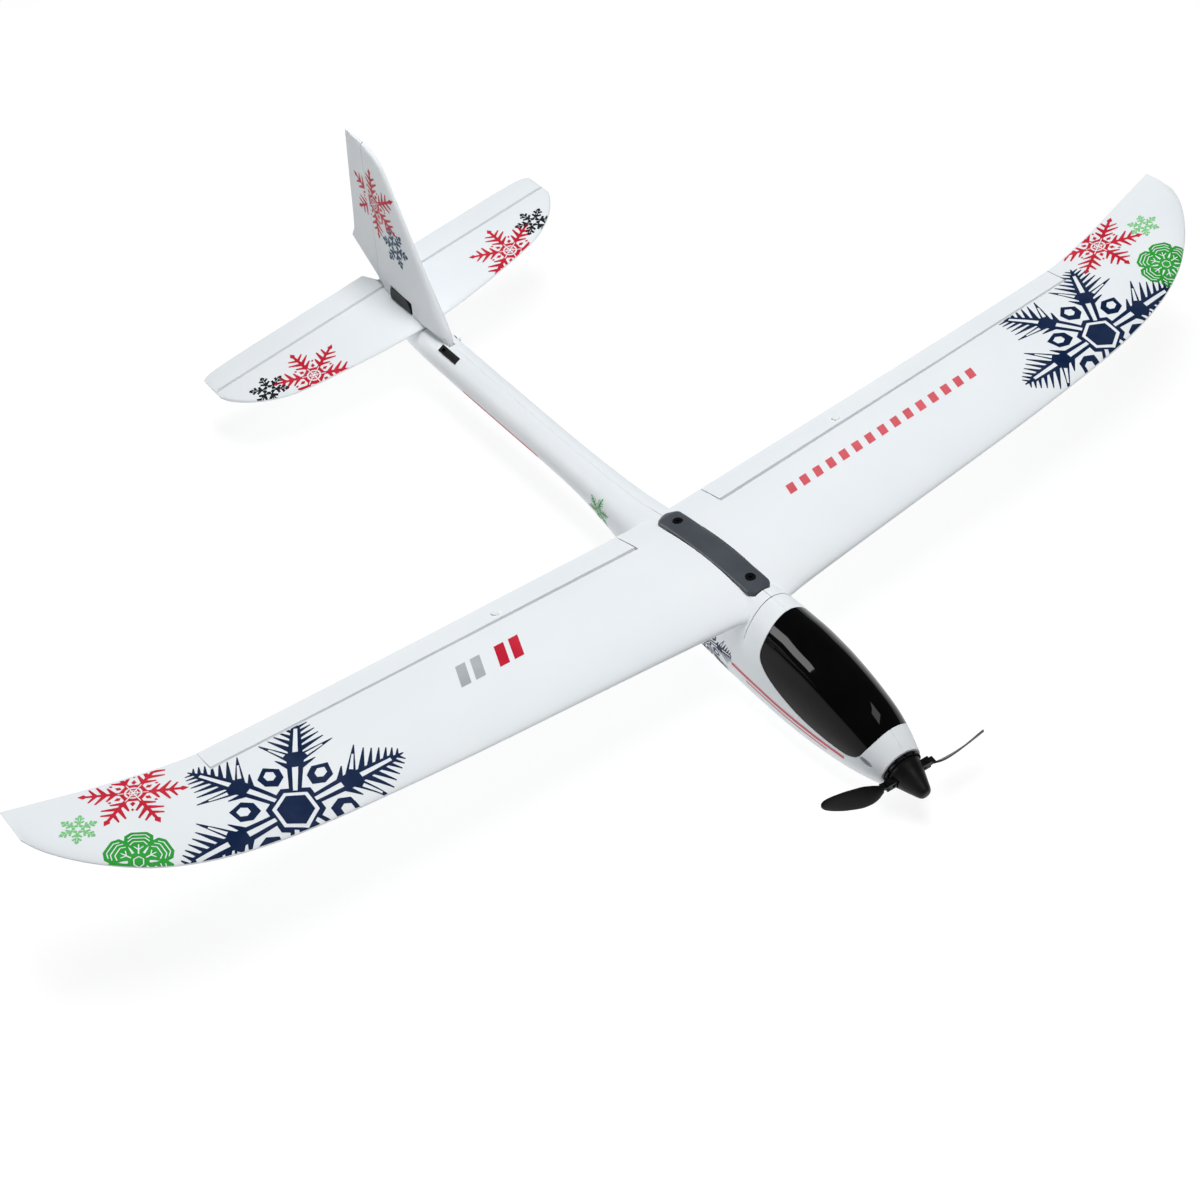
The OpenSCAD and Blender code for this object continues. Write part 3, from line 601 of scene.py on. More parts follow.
def wing():
    half = wing_solid()
    root = common(pod_solid(0.0, 0, linspace(30, -100, 60)), box((-86, -3, SADDLE_Z), (17.0, 60, 110)))
    add(half, root)
    seat = [(x, CLAMP_LINE(x) - 0.6) for x in linspace(-73.4, 10.4, 24)] + [(10.4, 90), (-73.4, 90)]
    cut(half, box((-200, -60, 0), (200, 0.12, 200)), prism(seat, -7.9, 7.9))
    for x in (0, -62):
        cut(half, moved(rod(2.6, 40, 80), shift(x, 0, 0)))
    hinge = at_hinge(AIL_HORN)
    pocket = shift(34, 0, 1.5)
    cut(half, moved(box((-16.2, -12.2, -12), (8.2, 0, 4.2)), hinge @ pocket))
    cut(half, moved(box((-5.5, -0.1, -12), (5.5, 2.3, 3.2)), hinge @ pocket))
    panel = wing_solid()
    flap = common(panel, moved(box((-40, 0.6, -8), (-GAP, AIL_LEN - 0.6, 14)), at_hinge(AIL_IN)))
    cut(flap, moved(groove(AIL_LEN), at_hinge(AIL_IN)))
    cut(half, moved(box((-40, 0, -8), (GAP, AIL_LEN, 14)), at_hinge(AIL_IN)))
    foot = moved(box((-12, -2.5, -0.7), (-2.5, 5, 0.3)), hinge)
    cut(flap, foot)
    return half, flap


def mirrored(obj):
    twin = copy_of(obj)
    twin.data.transform(Matrix.Scale(-1, 4, (0, 1, 0)))
    twin.data.flip_normals()
    return twin


def wings():
    half, flap = wing()
    half_r, flap_r = mirrored(half), mirrored(flap)
    finish_piece(half, "wing_skin_left", AIR, FOAM, ("wing_left",), round_mm=0.25)
    finish_piece(half_r, "wing_skin_right", AIR, FOAM, ("wing_right",), round_mm=0.25)
    finish_piece(flap, "aileron_skin_left", "left_aileron", FOAM, ("aileron_left",), round_mm=0.2)
    finish_piece(flap_r, "aileron_skin_right", "right_aileron", FOAM, ("aileron_right",), round_mm=0.2)


def clamp():
    """Crowned strip with round corners and two stepped screw holes."""
    n, rings = 64, []
    profile = [(1.0, -0.6), (1.0, 0.9), (0.985, 1.35), (0.95, 1.7), (0.88, 2.05), (0.7, 2.5), (0.45, 2.85), (0.2, 3.05)]
    for i in range(n + 1):
        x = -73 + 83 * (0.5 - 0.5 * math.cos(math.pi * i / n))
        end = min(x + 73, 10 - x)
        w = 7.5 - (4.5 - math.sqrt(max(0.0, 4.5 ** 2 - (4.5 - end) ** 2)) if end < 4.5 else 0)
        fall = 0.9 * (1 - smoothstep(0, 3.5, end))
        z = CLAMP_LINE(x)
        left = [(x, w * k, z + h - (fall if h > 0 else 0)) for k, h in profile]
        rings.append(left + [(x, 0, z + 3.1 - fall)] + [(x, -y, zz) for _, y, zz in reversed(left)])
    strip = loft(rings)
    for x in (0, -62):
        z = CLAMP_LINE(x) + 1.1
        cut(strip, moved(rod(1.7, 40, 80, 48), shift(x, 0, 0)), moved(rod(3.0, z, z + 10, 64), shift(x, 0, 0)))
    finish_piece(strip, "clamp_strip", AIR, CLAMP, ("wing_clamp",), round_mm=0.25, angle=35)


# ---------------------------------------------------------------- tail
PLATE_H = Curve([(0, 0.1), (0.012, 0.42), (0.04, 0.72), (0.1, 0.93), (0.2, 1), (0.45, 1), (0.7, 0.84), (1, 0.28)])
FIN_H = Curve([(0, 0.14), (0.012, 0.4), (0.04, 0.66), (0.1, 0.86), (0.2, 1), (0.45, 0.97), (0.7, 0.46), (1, 0.16)])
PLATE_T = [0, 0.004, 0.012, 0.024, 0.04, 0.065, 0.1, 0.15, 0.2, 0.3, 0.4, 0.5, 0.6, 0.7, 0.78, 0.86, 0.93, 0.98, 1]
stab_le = Curve([(0, -306), (20, -307), (60, -312), (90, -318), (105, -325), (115, -333), (121, -340),
                 (124, -344.5), (126, -349)])
stab_te = Curve([(0, -375), (100, -374.5), (118, -373.5), (124, -372), (126, -370.5)])
STAB_Z = 54.0
TAIL_ROLL = 7.5
ROLL = shift(0, 0, 41) @ turn(TAIL_ROLL, "X") @ shift(0, 0, -41)
stab_thick = Curve([(0, 5), (122, 3.65), (125, 3.2), (126, 1.8)])
fin_le = Curve([(49.5, -282), (56, -283.5), (69, -290.3), (100, -308), (130, -325), (146, -334.4), (153, -339.5),
                (157, -345), (159.3, -351), (160.5, -358)])
fin_te = Curve([(49.5, -386), (77, -387.5), (84, -384), (92, -382.8), (125, -379.5), (153, -376.6),
                (160.5, -375.8)])
fin_thick = Curve([(49, 10.4), (67, 10.4), (80, 8), (100, 6), (157, 3.6), (160.5, 1.9)])


def plate_ring(le, te, thick, shape):
    chord = le - te
    top = [(le - chord * t, thick / 2 * shape(t)) for t in PLATE_T]
    return top + [(x, -h) for x, h in reversed(top)]


def stab_top(x, y):
    le, te = stab_le(abs(y)), stab_te(abs(y))
    t = min(1.0, max(0.0, (le - x) / (le - te)))
    return ROLL @ Vector((x, y, STAB_Z + stab_thick(abs(y)) / 2 * PLATE_H(t)))


def fin_side(x, z, side=-1):
    le, te = fin_le(z), fin_te(z)
    t = min(1.0, max(0.0, (le - x) / (le - te)))
    return (x, side * fin_thick(z) / 2 * FIN_H(t), z)


def tail_plane():
    ys = sorted({s * y for s in (-1, 1) for y in linspace(0, 84, 15) + linspace(88, 126, 30)})
    return loft([[(x, y, STAB_Z + h) for x, h in plate_ring(stab_le(abs(y)), stab_te(abs(y)),
                                                            stab_thick(abs(y)), PLATE_H)] for y in ys])


def fin_plate():
    zs = linspace(49.5, 76, 10) + linspace(77.5, 140, 26) + linspace(142, 160.5, 22)
    return loft([[(x, -h, z) for x, h in plate_ring(fin_le(z), fin_te(z), fin_thick(z), FIN_H)] for z in zs])


def fin_foot(y):
    """The space beside the fin's tongue: flat over the boom, along the rolled top over the stabiliser."""
    over = box((-400, y, 40), (-306.3, y + 20, 60))
    cut(over, moved(box((-401, -40, STAB_Z + 2.5), (-305, 40, STAB_Z + 42.5)), ROLL))
    return box((-306.4, y, 40), (-200, y + 20, 56.5)), over


def tail():
    hinge = shift(-354, 0, 51.8)
    front = moved(cut(tail_plane(), moved(box((-60 + GAP, -200, -10), (GAP, 200, 10)), hinge)), ROLL)
    cut(front, box((-400, -2.2, 53.5), (-200, 2.2, 63.5)), box((-341.3, -8, 56.4), (-316.7, 4.2, 66.4)))
    rear = common(tail_plane(), moved(box((-60 - GAP, -200, -10), (-GAP, 200, 10)), hinge))
    cut(rear, moved(groove(400), hinge @ shift(0, -200, 0)))
    notch = [(-380, -7), (-363, -0.8), (-363, 0.8), (-380, 7)]
    cut(rear, moved(box((-12, -2.5, -0.4), (-2.5, 5, 0.6)), hinge @ shift(0, 11.2, 0)))
    cut(moved(rear, ROLL), loft([[(x, y, z) for x, y in notch] for z in (40, 70)]))
    finish_piece(front, "stabiliser_skin", AIR, FOAM, ("stabiliser",), round_mm=0.15)
    finish_piece(rear, "elevator_skin", "elevator_panel", FOAM, ("elevator",), round_mm=0.15)
    post = shift(-357, -1.2, 0)
    fin = cut(fin_plate(), moved(box((-60 + GAP, -20, 40), (GAP, 20, 180)), post),
              *fin_foot(2.2), *fin_foot(-22.2),
              box((-400, -10, 40), (-306.4, 10, 53.5)), box((-400, -10, 40), (-353.5, 10, 59)),
              box((-341.3, -8, 56.6), (-316.7, 4.2, 66.4)), box((-329, -4.2, 66.2), (-321, 15.8, 70.6)))
    rudder = common(fin_plate(), moved(box((-60 - GAP, -20, 59.5), (-GAP, 20, 199.5)), post))
    cut(rudder, prism([(-350, 50), (-350, 57), (-357, 60.6), (-389, 77.6), (-395, 77.6), (-395, 50)], -30, 30))
    lean = 14 * math.tan(math.radians(23))
    for side in (-1, 1):
        wedge = [(GAP, 0), (GAP, 14 * side), (-lean - GAP, 14 * side), (-GAP, 0.001 * side)]
        cut(rudder, moved(loft([[(x, y, z) for x, y in wedge] for z in (40, 200)]), post))
    cut(rudder, moved(box((-12, 1, -2.5), (-2.5, 2, 5)), post @ shift(0, 0, 68)))
    cut(rudder, moved(box((-11.2, 1, 0.3), (0.8, 6, 1.9)), post @ shift(0, 0, 68)))
    finish_piece(fin, "fin_skin", AIR, FOAM, ("fin",), round_mm=0.15)
    finish_piece(rudder, "rudder_skin", "rudder_panel", FOAM, ("rudder",), round_mm=0.15)


# ---------------------------------------------------------------- propeller
def spinner():
    outer = [(0.0, 19.0), (1.2, 18.98), (2.2, 18.85), (2.9, 18.55), (3.5, 18.0), (4.0, 17.2), (4.6, 15.9), (5.5, 13.6),
             (6.4, 11.4), (7.4, 8.8), (8.4, 6.2), (9.2, 4.2), (9.7, 2.8), (9.95, 2.0), (10.0, 1.5)]
    inner = [(8.8, 1.5), (8.5, 2.8), (7.2, 6.2), (5.2, 11.5), (4.6, 13.0), (0.0, 13.0)]
    n, verts, faces = 96, [], []
    line = outer + inner
    for r, x in line[1:-1]:
        verts += [(x, r * math.cos(2 * math.pi * k / n), r * math.sin(2 * math.pi * k / n)) for k in range(n)]
    rows = len(line) - 2
    for i in range(rows - 1):
        faces += [[i * n + k, i * n + (k + 1) % n, (i + 1) * n + (k + 1) % n, (i + 1) * n + k] for k in range(n)]
    verts += [(line[0][1], 0, 0), (line[-1][1], 0, 0)]
    faces += [[rows * n, (k + 1) % n, k] for k in range(n)]
    faces += [[rows * n + 1, (rows - 1) * n + k, (rows - 1) * n + (k + 1) % n] for k in range(n)]
    cone = new_object("cone", verts, faces)
    cut(cone, box((0, -20, -3), (6.2, 20, 3)))
    moved(cone, NOSE)
    finish_piece(cone, "spinner_cone", "propeller", BLACK, ("spinner",), round_mm=0.2, angle=35)


BLADE = [(4, 4.4, 30, 1.6), (7, 7.5, 34, 2.4), (11, 10.6, 31, 2.8), (17, 12.6, 27, 2.6),
         (24, 12.2, 23, 2), (31, 10.2, 19, 1.2), (36, 6.8, 17, 0.5), (38, 3.2, 16, 0.2)]
blade_chord, blade_pitch, blade_ahead = [Curve([(b[0], b[k]) for b in BLADE]) for k in (1, 2, 3)]


def blade(name, node_name, body, place_at):
    rings = []
    for s in linspace(4, 36.5, 26) + [37.2, 37.6, 37.85, 38]:
        c, pitch, ahead = blade_chord(s), math.radians(blade_pitch(s)), blade_ahead(s)
        c *= 1 if s < 37 else (1 - 0.35 * (s - 37) ** 2)
        ring = []
        for k in range(28):
            a = 2 * math.pi * k / 28
            u = c / 2 * math.cos(a)
            v = 0.62 * math.sin(a) * (0.55 + 0.45 * math.cos(a / 2) ** 2) + 0.5 * (1 - (2 * u / c) ** 2)
            ring.append((ahead + u * math.sin(pitch) + v * math.cos(pitch), s,
                         u * math.cos(pitch) - v * math.sin(pitch)))
        rings.append(ring)
    piece = loft(rings)
    root = rod(2.1, -1, 1, 48)
    add(root, box((-1.6, 0, -1), (2.0, 5, 1)))
    add(piece, root)
    cut(piece, rod(0.86, -3, 3, 32))
    moved(piece, NOSE @ place_at)
    finish_piece(piece, name, body, BLACK, (node_name,), round_mm=0.12, angle=38)


# ---------------------------------------------------------------- printed decals
def turned(points, degrees):
    c, s = math.cos(math.radians(degrees)), math.sin(math.radians(degrees))
    return [(x * c - y * s, x * s + y * c) for x, y in points]


def bar(x0, y0, x1, y1, w0, w1):
    """A tapered bar from one point to another, as four corners."""
    dx, dy = x1 - x0, y1 - y0
    length = math.hypot(dx, dy)
    nx, ny = -dy / length / 2, dx / length / 2
    return [(x0 + nx * w0, y0 + ny * w0), (x0 - nx * w0, y0 - ny * w0),
            (x1 - nx * w1, y1 - ny * w1), (x1 + nx * w1, y1 + ny * w1)]


def hexagon(radius, spin=0.0):
    return [(radius * math.cos(math.radians(60 * k + spin)), radius * math.sin(math.radians(60 * k + spin)))
            for k in range(6)]


def twice(points):
    return [points, [(x, -y) for x, y in reversed(points)]]


def barb(r, length, lean, w0, w1, start=0.0):
    """A pair of side branches at radius r, leaning outwards, on an arm along X."""
    c, s = math.cos(math.radians(lean)), math.sin(math.radians(lean))
    return twice(bar(r + start * c, start * s, r + length * c, length * s, w0, w1))


def six(shapes):
    return [turned(shape, 60 * k) for k in range(6) for shape in shapes]


def flake_fern(size):
    """A large feathery crystal: hexagon, split arms and pointed barbs. Returns inked and blank outlines."""
    arm = [bar(0.19, 0, 0.56, 0, 0.10, 0.15), bar(0.54, 0, 0.90, 0, 0.13, 0.075), bar(0.88, 0, 1.0, 0, 0.05, 0.012)]
    for r, length, width in ((0.40, 0.20, 0.075), (0.50, 0.37, 0.10), (0.60, 0.28, 0.065), (0.68, 0.23, 0.055),
                             (0.755, 0.19, 0.05), (0.825, 0.15, 0.045), (0.885, 0.115, 0.04), (0.94, 0.075, 0.03)):
        arm += barb(r, length, 54, width, 0.010)
    leaf = [(0.27, 0), (0.33, -0.085), (0.43, -0.10), (0.52, 0), (0.43, 0.10), (0.33, 0.085)]
    between = [turned(leaf, 30)]
    blank = [bar(0.18, 0, 0.43, 0, 0.036, 0.05), bar(0.60, 0, 0.885, 0, 0.045, 0.03)]
    blank += [turned([(0.35, 0), (0.375, -0.04), (0.43, -0.045), (0.465, 0), (0.43, 0.045), (0.375, 0.04)], 30)]
    blank += barb(0.50, 0.27, 54, 0.034, 0.016, 0.11)
    inked = six(arm + between) + [hexagon(0.235, 30)]
    spokes = six(blank) + ring_blank(0.15, 0.185)
    return scale_all(inked, size), scale_all(spokes, size)


def ring_blank(inner, outer, spin=30.0):
    """A hexagonal ring as six quads."""
    a, b = hexagon(inner, spin), hexagon(outer, spin)
    return [[a[k], b[k], b[(k + 1) % 6], a[(k + 1) % 6]] for k in range(6)]


def scale_all(shapes, size):
    return [[(x * size, y * size) for x, y in shape] for shape in shapes]


def flake_branch(size):
    """A medium crystal: plain arms, three pairs of barbs and small lozenges between the arms."""
    arm = [bar(0.16, 0, 0.92, 0, 0.085, 0.06), [(0.80, 0), (0.89, -0.065), (1.0, 0), (0.89, 0.065)]]
    for r, length, width in ((0.34, 0.24, 0.095), (0.50, 0.31, 0.10), (0.67, 0.23, 0.08)):
        arm += barb(r, length, 56, width, 0.035)
    arm += [turned([(0.25, 0), (0.31, -0.05), (0.39, 0), (0.31, 0.05)], 30)]
    arm += [turned([(0.44, 0), (0.475, -0.03), (0.52, 0), (0.475, 0.03)], 30)]
    blank = [bar(0.0, 0, 0.28, 0, 0.03, 0.02)]
    inked = six(arm) + ring_blank(0.19, 0.275, 0) + [hexagon(0.145, 0)]
    return scale_all(inked, size), scale_all(six(blank) + ring_blank(0.08, 0.10, 0), size)


def flake_plate(size):
    """A solid crystal of six broad petals with fine blank lines."""
    petal = [(0.1, 0), (0.40, -0.20), (0.62, -0.40), (0.86, -0.40), (1.0, -0.22), (1.0, 0.22), (0.86, 0.40),
             (0.62, 0.40), (0.40, 0.20)]
    blank = []
    for r, half in ((0.90, 0.30), (0.78, 0.30), (0.66, 0.24)):
        blank += [bar(r, -half * 0.6, r, half * 0.6, 0.032, 0.032)]
        blank += twice(bar(r, half * 0.6, r - 0.12, half, 0.032, 0.032))
    blank += [bar(0.24, 0, 0.56, 0, 0.045, 0.03)] + barb(0.38, 0.17, 50, 0.03, 0.03)
    return (scale_all(six([petal]) + [hexagon(0.34, 0)], size),
            scale_all(six(blank) + ring_blank(0.135, 0.17, 0), size))


def flake_dot(size):
    """A small crystal: short arms with forked ends round a hexagon."""
    arm = [bar(0.2, 0, 0.95, 0, 0.15, 0.13), [(0.76, 0), (0.85, -0.13), (1.0, -0.05), (1.0, 0.05), (0.85, 0.13)]]
    arm += barb(0.40, 0.28, 58, 0.15, 0.11) + barb(0.64, 0.26, 58, 0.14, 0.11)
    blank = [bar(0.05, 0, 0.30, 0, 0.035, 0.035), bar(0.54, 0, 0.84, 0, 0.035, 0.025)]
    return scale_all(six(arm) + ring_blank(0.16, 0.36, 0), size), scale_all(six(blank), size)


def decal(name, body, mat, skin, centre, shapes, spin, limits, lines, lift=0.07):
    """Cuts the inked outlines minus the blank ones into a fine sheet and lays it on a skin.

    skin(u, v) gives the surface point; limits is a list of outlines, all of which the print stays inside;
    lines are extra breaks, so that the sheet bends with the skin."""
    inked, blank = shapes
    verts, edges, faces, kinds = [], [], [], []

    def outline(points, kind):
        area = sum(points[i - 1][0] * points[i][1] - points[i][0] * points[i - 1][1] for i in range(len(points)))
        if area < 0:
            points = list(reversed(points))
        first = len(verts)
        verts.extend(Vector(p) for p in points)
        faces.append(list(range(first, first + len(points))))
        kinds.append(kind)

    for group, kind in ((inked, "ink"), (blank, "blank")):
        for shape in group:
            outline([(centre[0] + x, centre[1] + y) for x, y in turned(shape, spin)], kind)
    for k, points in enumerate(limits):
        outline(points, k)
    for line in lines:
        first = len(verts)
        verts.extend(Vector(p) for p in line)
        edges.extend((first + i, first + i + 1) for i in range(len(line) - 1))
    out = delaunay_2d_cdt(verts, edges, faces, 0, 1e-5, True)
    keep = []
    for face, sources in zip(out[2], out[5]):
        found = {kinds[s] for s in sources}
        if "ink" in found and "blank" not in found and all(k in found for k in range(len(limits))):
            keep.append(face)
    if not keep:
        return None
    used = sorted({i for face in keep for i in face})
    index = {v: i for i, v in enumerate(used)}
    points = []
    for i in used:
        u, v = out[0][i]
        p = Vector(skin(u, v))
        e = 0.05
        du = Vector(skin(u + e, v)) - Vector(skin(u - e, v))
        dv = Vector(skin(u, v + e)) - Vector(skin(u, v - e))
        normal = du.cross(dv)
        if normal.length < 1e-12:
            normal = Vector((0, 0, 1))
        normal.normalize()
        points.append((p, normal))
    outward = sum((n for _, n in points), Vector())
    middle = sum((p for p, _ in points), Vector()) / len(points)
    upright = abs(outward.y) > abs(outward.z)
    inside = Vector((middle.x, 0.0, 40.0)) if upright else Vector((middle.x, middle.y, 0.0))
    sign = 1 if outward.dot(middle - inside) > 0 else -1
    coords = [p + n * (sign * lift) for p, n in points]
    mesh_faces = [[index[i] for i in (face if sign > 0 else reversed(face))] for face in keep]
    mesh = bpy.data.meshes.new(name)
    mesh.from_pydata([tuple(c * MM) for c in coords], [], mesh_faces)
    obj = bpy.data.objects.new(name, mesh)
    scene.collection.objects.link(obj)
    for poly in mesh.polygons:
        poly.use_smooth = True
    mesh.materials.append(mat)
    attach(obj, body)
    return obj


def span_lines(edge, y0, y1, offsets, step=4.0):
    """Lines that follow an edge curve at several distances."""
    ys = linspace(y0, y1, max(3, int(abs(y1 - y0) / step) + 1))
    return [[(edge(abs(y)) - d, y) for y in ys] for d in offsets]


def cross_lines(x0, x1, y0, y1, step):
    ys = np.arange(min(y0, y1), max(y0, y1) + 0.01, step)
    return [[(x0, y), (x1, y)] for y in ys]


def wing_decal(name, side, mat, x, y, shapes, spin, reach, back=None):
    y *= side
    span = [y - reach, y + reach]
    hi = min(389.0, max(abs(span[0]), abs(span[1])))
    lo = min(abs(span[0]), abs(span[1]))
    ys = [side * v for v in linspace(lo, hi, 30)]
    front = [(wing_le(abs(v)) - 0.35, v) for v in ys]
    rear = [((back if back is not None and abs(v) < AIL_OUT + 1 else wing_te(abs(v)) + 1.2), v) for v in reversed(ys)]
    offsets = [0.7, 1.2, 2.0, 3.0, 4.5, 6.5, 9.0] + [12.0 + 5 * k for k in range(16)]
    lines = span_lines(wing_le, ys[0], ys[-1], [d for d in offsets if d < 75])
    lines += cross_lines(-95, 20, ys[0], ys[-1], 5.0)
    decal(name, AIR, mat, wing_top, (x, y), shapes, spin, [front + rear], lines)


def decals():
    for side, tag in ((1, "left"), (-1, "right")):
        wing_decal(f"flake_navy_{tag}", side, NAVY, -11.5, 273.5 - side, flake_fern(61), 30 + side, 62, HINGE_X + 0.6)
        wing_decal(f"flake_red_{tag}", side, RED, -67, 329.5 - side * 2.5, flake_branch(26.5), -side * 2, 27)
        wing_decal(f"flake_lime_{tag}", side, LIME, -58, 360 - side * 5, flake_dot(9.6), 28, 10)
        wing_decal(f"flake_green_{tag}", side, GREEN, -26, 346 - side * 5, flake_plate(16.8), 30, 18)
        ys = [side * v for v in linspace(50, 125, 40)]
        limit = [(stab_le(abs(v)) - 0.3, v) for v in ys] + [(-353.2, v) for v in reversed(ys)]
        lines = span_lines(stab_le, ys[0], ys[-1], [0.5, 0.9, 1.6, 2.6, 4, 6, 9, 13, 19, 25, 32]) + cross_lines(
            -380, -305, ys[0], ys[-1], 6.0)
        decal(f"flake_stab_red_{tag}", AIR, RED, stab_top, (-321, side * 75), flake_branch(26.5), -side * 2,
              [limit], lines)
        decal(f"flake_stab_black_{tag}", AIR, INK_BLACK, stab_top, (-331.3, side * 101.5), flake_dot(12.5), side * 8,
              [limit], lines)
    stripes()


def stripes():
    """Plain bars of colour along the wings, the pod and the boom."""
    def wing_blocks(tag, side, mat, x, y, offsets, width, height, slant):
        blocks = [[(-height / 2, side * v), (-height / 2, side * (v + width)),
                   (height / 2, side * (v + width) - slant), (height / 2, side * v - slant)] for v in offsets]
        wing_decal(f"blocks_{tag}", side, mat, x, y, (blocks, []), 0, 90)
    wing_blocks("left_red", 1, PALE_RED, -38, 128, linspace(-68, 66, 15), 5.0, 7.6, 2.5)
    wing_blocks("right_red", -1, RED, -36, 140, (-19, -10), 6.0, 15, 6.0)
    wing_blocks("right_grey", -1, GREY, -36, 140, (5, 14), 6.0, 15, 6.0)
    pod_lines = [[(x, -20), (x, 80)] for x in range(-360, 120, 4)]
    pod_lines += [[(-360, z), (118, z)] for z in range(4, 60, 3)]
    whole = [[(-300, 2), (118, 2), (118, 60), (-300, 60)]]
    near = [line for line in pod_lines if line[0][0] > 0 or line[1][0] > 0]

    def side_print(name, mat, bars, lines):
        decal(name, AIR, mat, lambda x, z: pod_side(x, z, -1), (0, 0), (bars, []), 0, whole, lines)
    side_print("stripe_pod_a", PALE_RED, [bar(10, 25.5, 96, 21.5, 2.4, 2.4)], near)
    side_print("stripe_pod_b", PALE_RED, [bar(22, 21.0, 84, 18.3, 1.2, 1.2)], near)
    side_print("stripe_boom", PALE_RED, [bar(-258, 37.0, -181, 37.0, 1.6, 1.6)], pod_lines)


def side_flakes():
    lines = [[(x, 60), (x, 165)] for x in range(-392, -290, 5)]
    lines += [[(-392, z), (-280, z)] for z in range(60, 165, 5)]
    zs = linspace(72, 158, 40)
    lines += [[(fin_le(z) - d, z) for z in zs] for d in (0.5, 1, 2, 3.5, 5.5)]
    fixed = [(fin_le(z) - 0.3, z) for z in zs] + [(-356.4, z) for z in reversed(zs)]
    moving = [(-360.2, z) for z in zs] + [(fin_te(z) + 0.5, z) for z in reversed(zs)]
    red = flake_branch(25.5)

    def fin_print(name, body, mat, centre, shapes, spin, limit):
        decal(name, body, mat, lambda x, z: fin_side(x, z, -1), centre, shapes, spin, [limit], lines)
    fin_print("flake_fin_red", AIR, RED, (-350, 121), red, 31, fixed)
    fin_print("flake_rudder_red", "rudder_panel", RED, (-350, 121), red, 31, moving)
    fin_print("flake_fin_slate", AIR, SLATE, (-330.5, 99.5), flake_dot(13.5), -2, fixed)
    lines = [[(x, -20), (x, 80)] for x in range(-150, 40, 3)] + [[(-150, z), (40, z)] for z in range(2, 60, 2)]

    def pod_print(name, mat, centre, shapes, spin, limit):
        decal(name, AIR, mat, lambda x, z: pod_side(x, z, -1), centre, shapes, spin, [limit], lines)
    pod_print("flake_boom_green", GREEN, (-120, 38), flake_branch(10.5), 15,
              [(-140, 26), (-100, 26), (-100, 52), (-140, 52)])
    pod_print("flake_pod_navy", NAVY, (-14, 26), flake_fern(27), 10, [(-60, 4), (10, 4), (10, 46.5), (-60, 46.5)])


# ---------------------------------------------------------------- small inner parts
def rounded_box(lo, hi, r):
    """A box with chamfered upright edges and a chamfered top."""
    (x0, y0, z0), (x1, y1, z1) = lo, hi

    def ring(inset, z):
        a, b, c, d = x0 + inset, y0 + inset, x1 - inset, y1 - inset
        k = r
        return [(a + k, b, z), (c - k, b, z), (c, b + k, z), (c, d - k, z), (c - k, d, z), (a + k, d, z),
                (a, d - k, z), (a, b + k, z)]
    return loft([ring(0, z0), ring(0, z1 - r), ring(r * 0.3, z1 - r * 0.3), ring(r, z1)])


def board_parts():
    """Chips, a row of socket pins and small parts on the control board."""
    chips = rounded_box((-21, -6.5, 21.55), (-13, 6.5, 22.6), 0.4)
    for k in range(5):
        y = -6 + 3 * k
        add(chips, rounded_box((2.8, y * 0.55 - 3, 20.05), (4.6, y * 0.55 - 1.9, 21.4), 0.15))
    for x, y in ((-6.5, 5.5), (-3.5, 6.2), (-0.5, 5.6), (-6.2, -6.4), (-2.8, -7.0), (0.2, -5.6)):
        add(chips, rounded_box((x, y, 15.55), (x + 1.6, y + 0.9, 16.5), 0.1))
    finish_piece(chips, "board_chips", AIR, INNER, angle=25)


def battery_cover():
    """The pack's shrink film: soft edges, and a folded seam round its middle."""
    rings = []
    for x, grow in ((31, -1.6), (31.25, -0.8), (31.8, -0.25), (33, 0), (45, -0.05), (51.6, -0.02), (51.8, 0.0),
                    (52.4, 0.0), (52.6, -0.02), (60, -0.05), (71, 0), (72.2, -0.25), (72.75, -0.8), (73, -1.6)):
        ring = []
        for k in range(40):
            a = 2 * math.pi * (k + 0.5) / 40
            y = 9.0 + grow
            z = 6.5 + grow
            ring.append((x, y * power(math.cos(a), 0.34), 15.5 + z * power(math.sin(a), 0.34)))
        rings.append(ring)
    pack = loft(rings)
    add(pack, rounded_box((72.5, -6, 12), (76, 6, 20), 0.6))
    finish_piece(pack, "battery_pack", AIR, WRAP, ("battery",), angle=40)


# ---------------------------------------------------------------- build
fuselage()
canopy()
wings()
clamp()
tail()
spinner()
blade("prop_blade_left", "blade_left", "left_blade", shift(3.4, 12, 0))
blade("prop_blade_right", "blade_right", "right_blade", turn(180, "X") @ shift(3.4, 12, 0) @ turn(14, "Z"))
decals()
side_flakes()
board_parts()
battery_cover()

CARRIED = {
    INNER: "canopy_latch clamp_anchor board_posts battery_tray",
    STEEL: "canopy_magnet pod_magnet aileron_rod_left aileron_rod_right elevator_rod rudder_rod prop_shaft",
    SCREW: "clamp_screws blade_pins",
    CARBON: "wing_spar_left wing_spar_right",
    WHITE: "aileron_horn_left aileron_horn_right aileron_arm_left aileron_arm_right elevator_horn elevator_arm "
           "rudder_horn rudder_arm",
    CASE: "aileron_servo_left aileron_servo_right elevator_servo rudder_servo",
    COVER: "servo_cover",
    BLACK: "boom_slot_trim motor_mount prop_hub",
    CAN: "motor",
    BOARD: "control_board",
    STRAP: "battery_strap",
}
for mat, names in CARRIED.items():
    for name in names.split():
        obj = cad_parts[name]
        for held in (obj if isinstance(obj, (list, tuple)) else [obj]):
            if not held.data.materials:
                held.data.materials.append(mat)
            for held_slot in held.material_slots:
                held_slot.material = mat

# ---------------------------------------------------------------- floor, light and camera
FLOOR_HALF = 40
FLOOR_Z = -0.0005
CAMERA_AT = (0.6449, -0.5309, 0.9114)
GLOSS_AIM = (0.07, 0, 0.06)

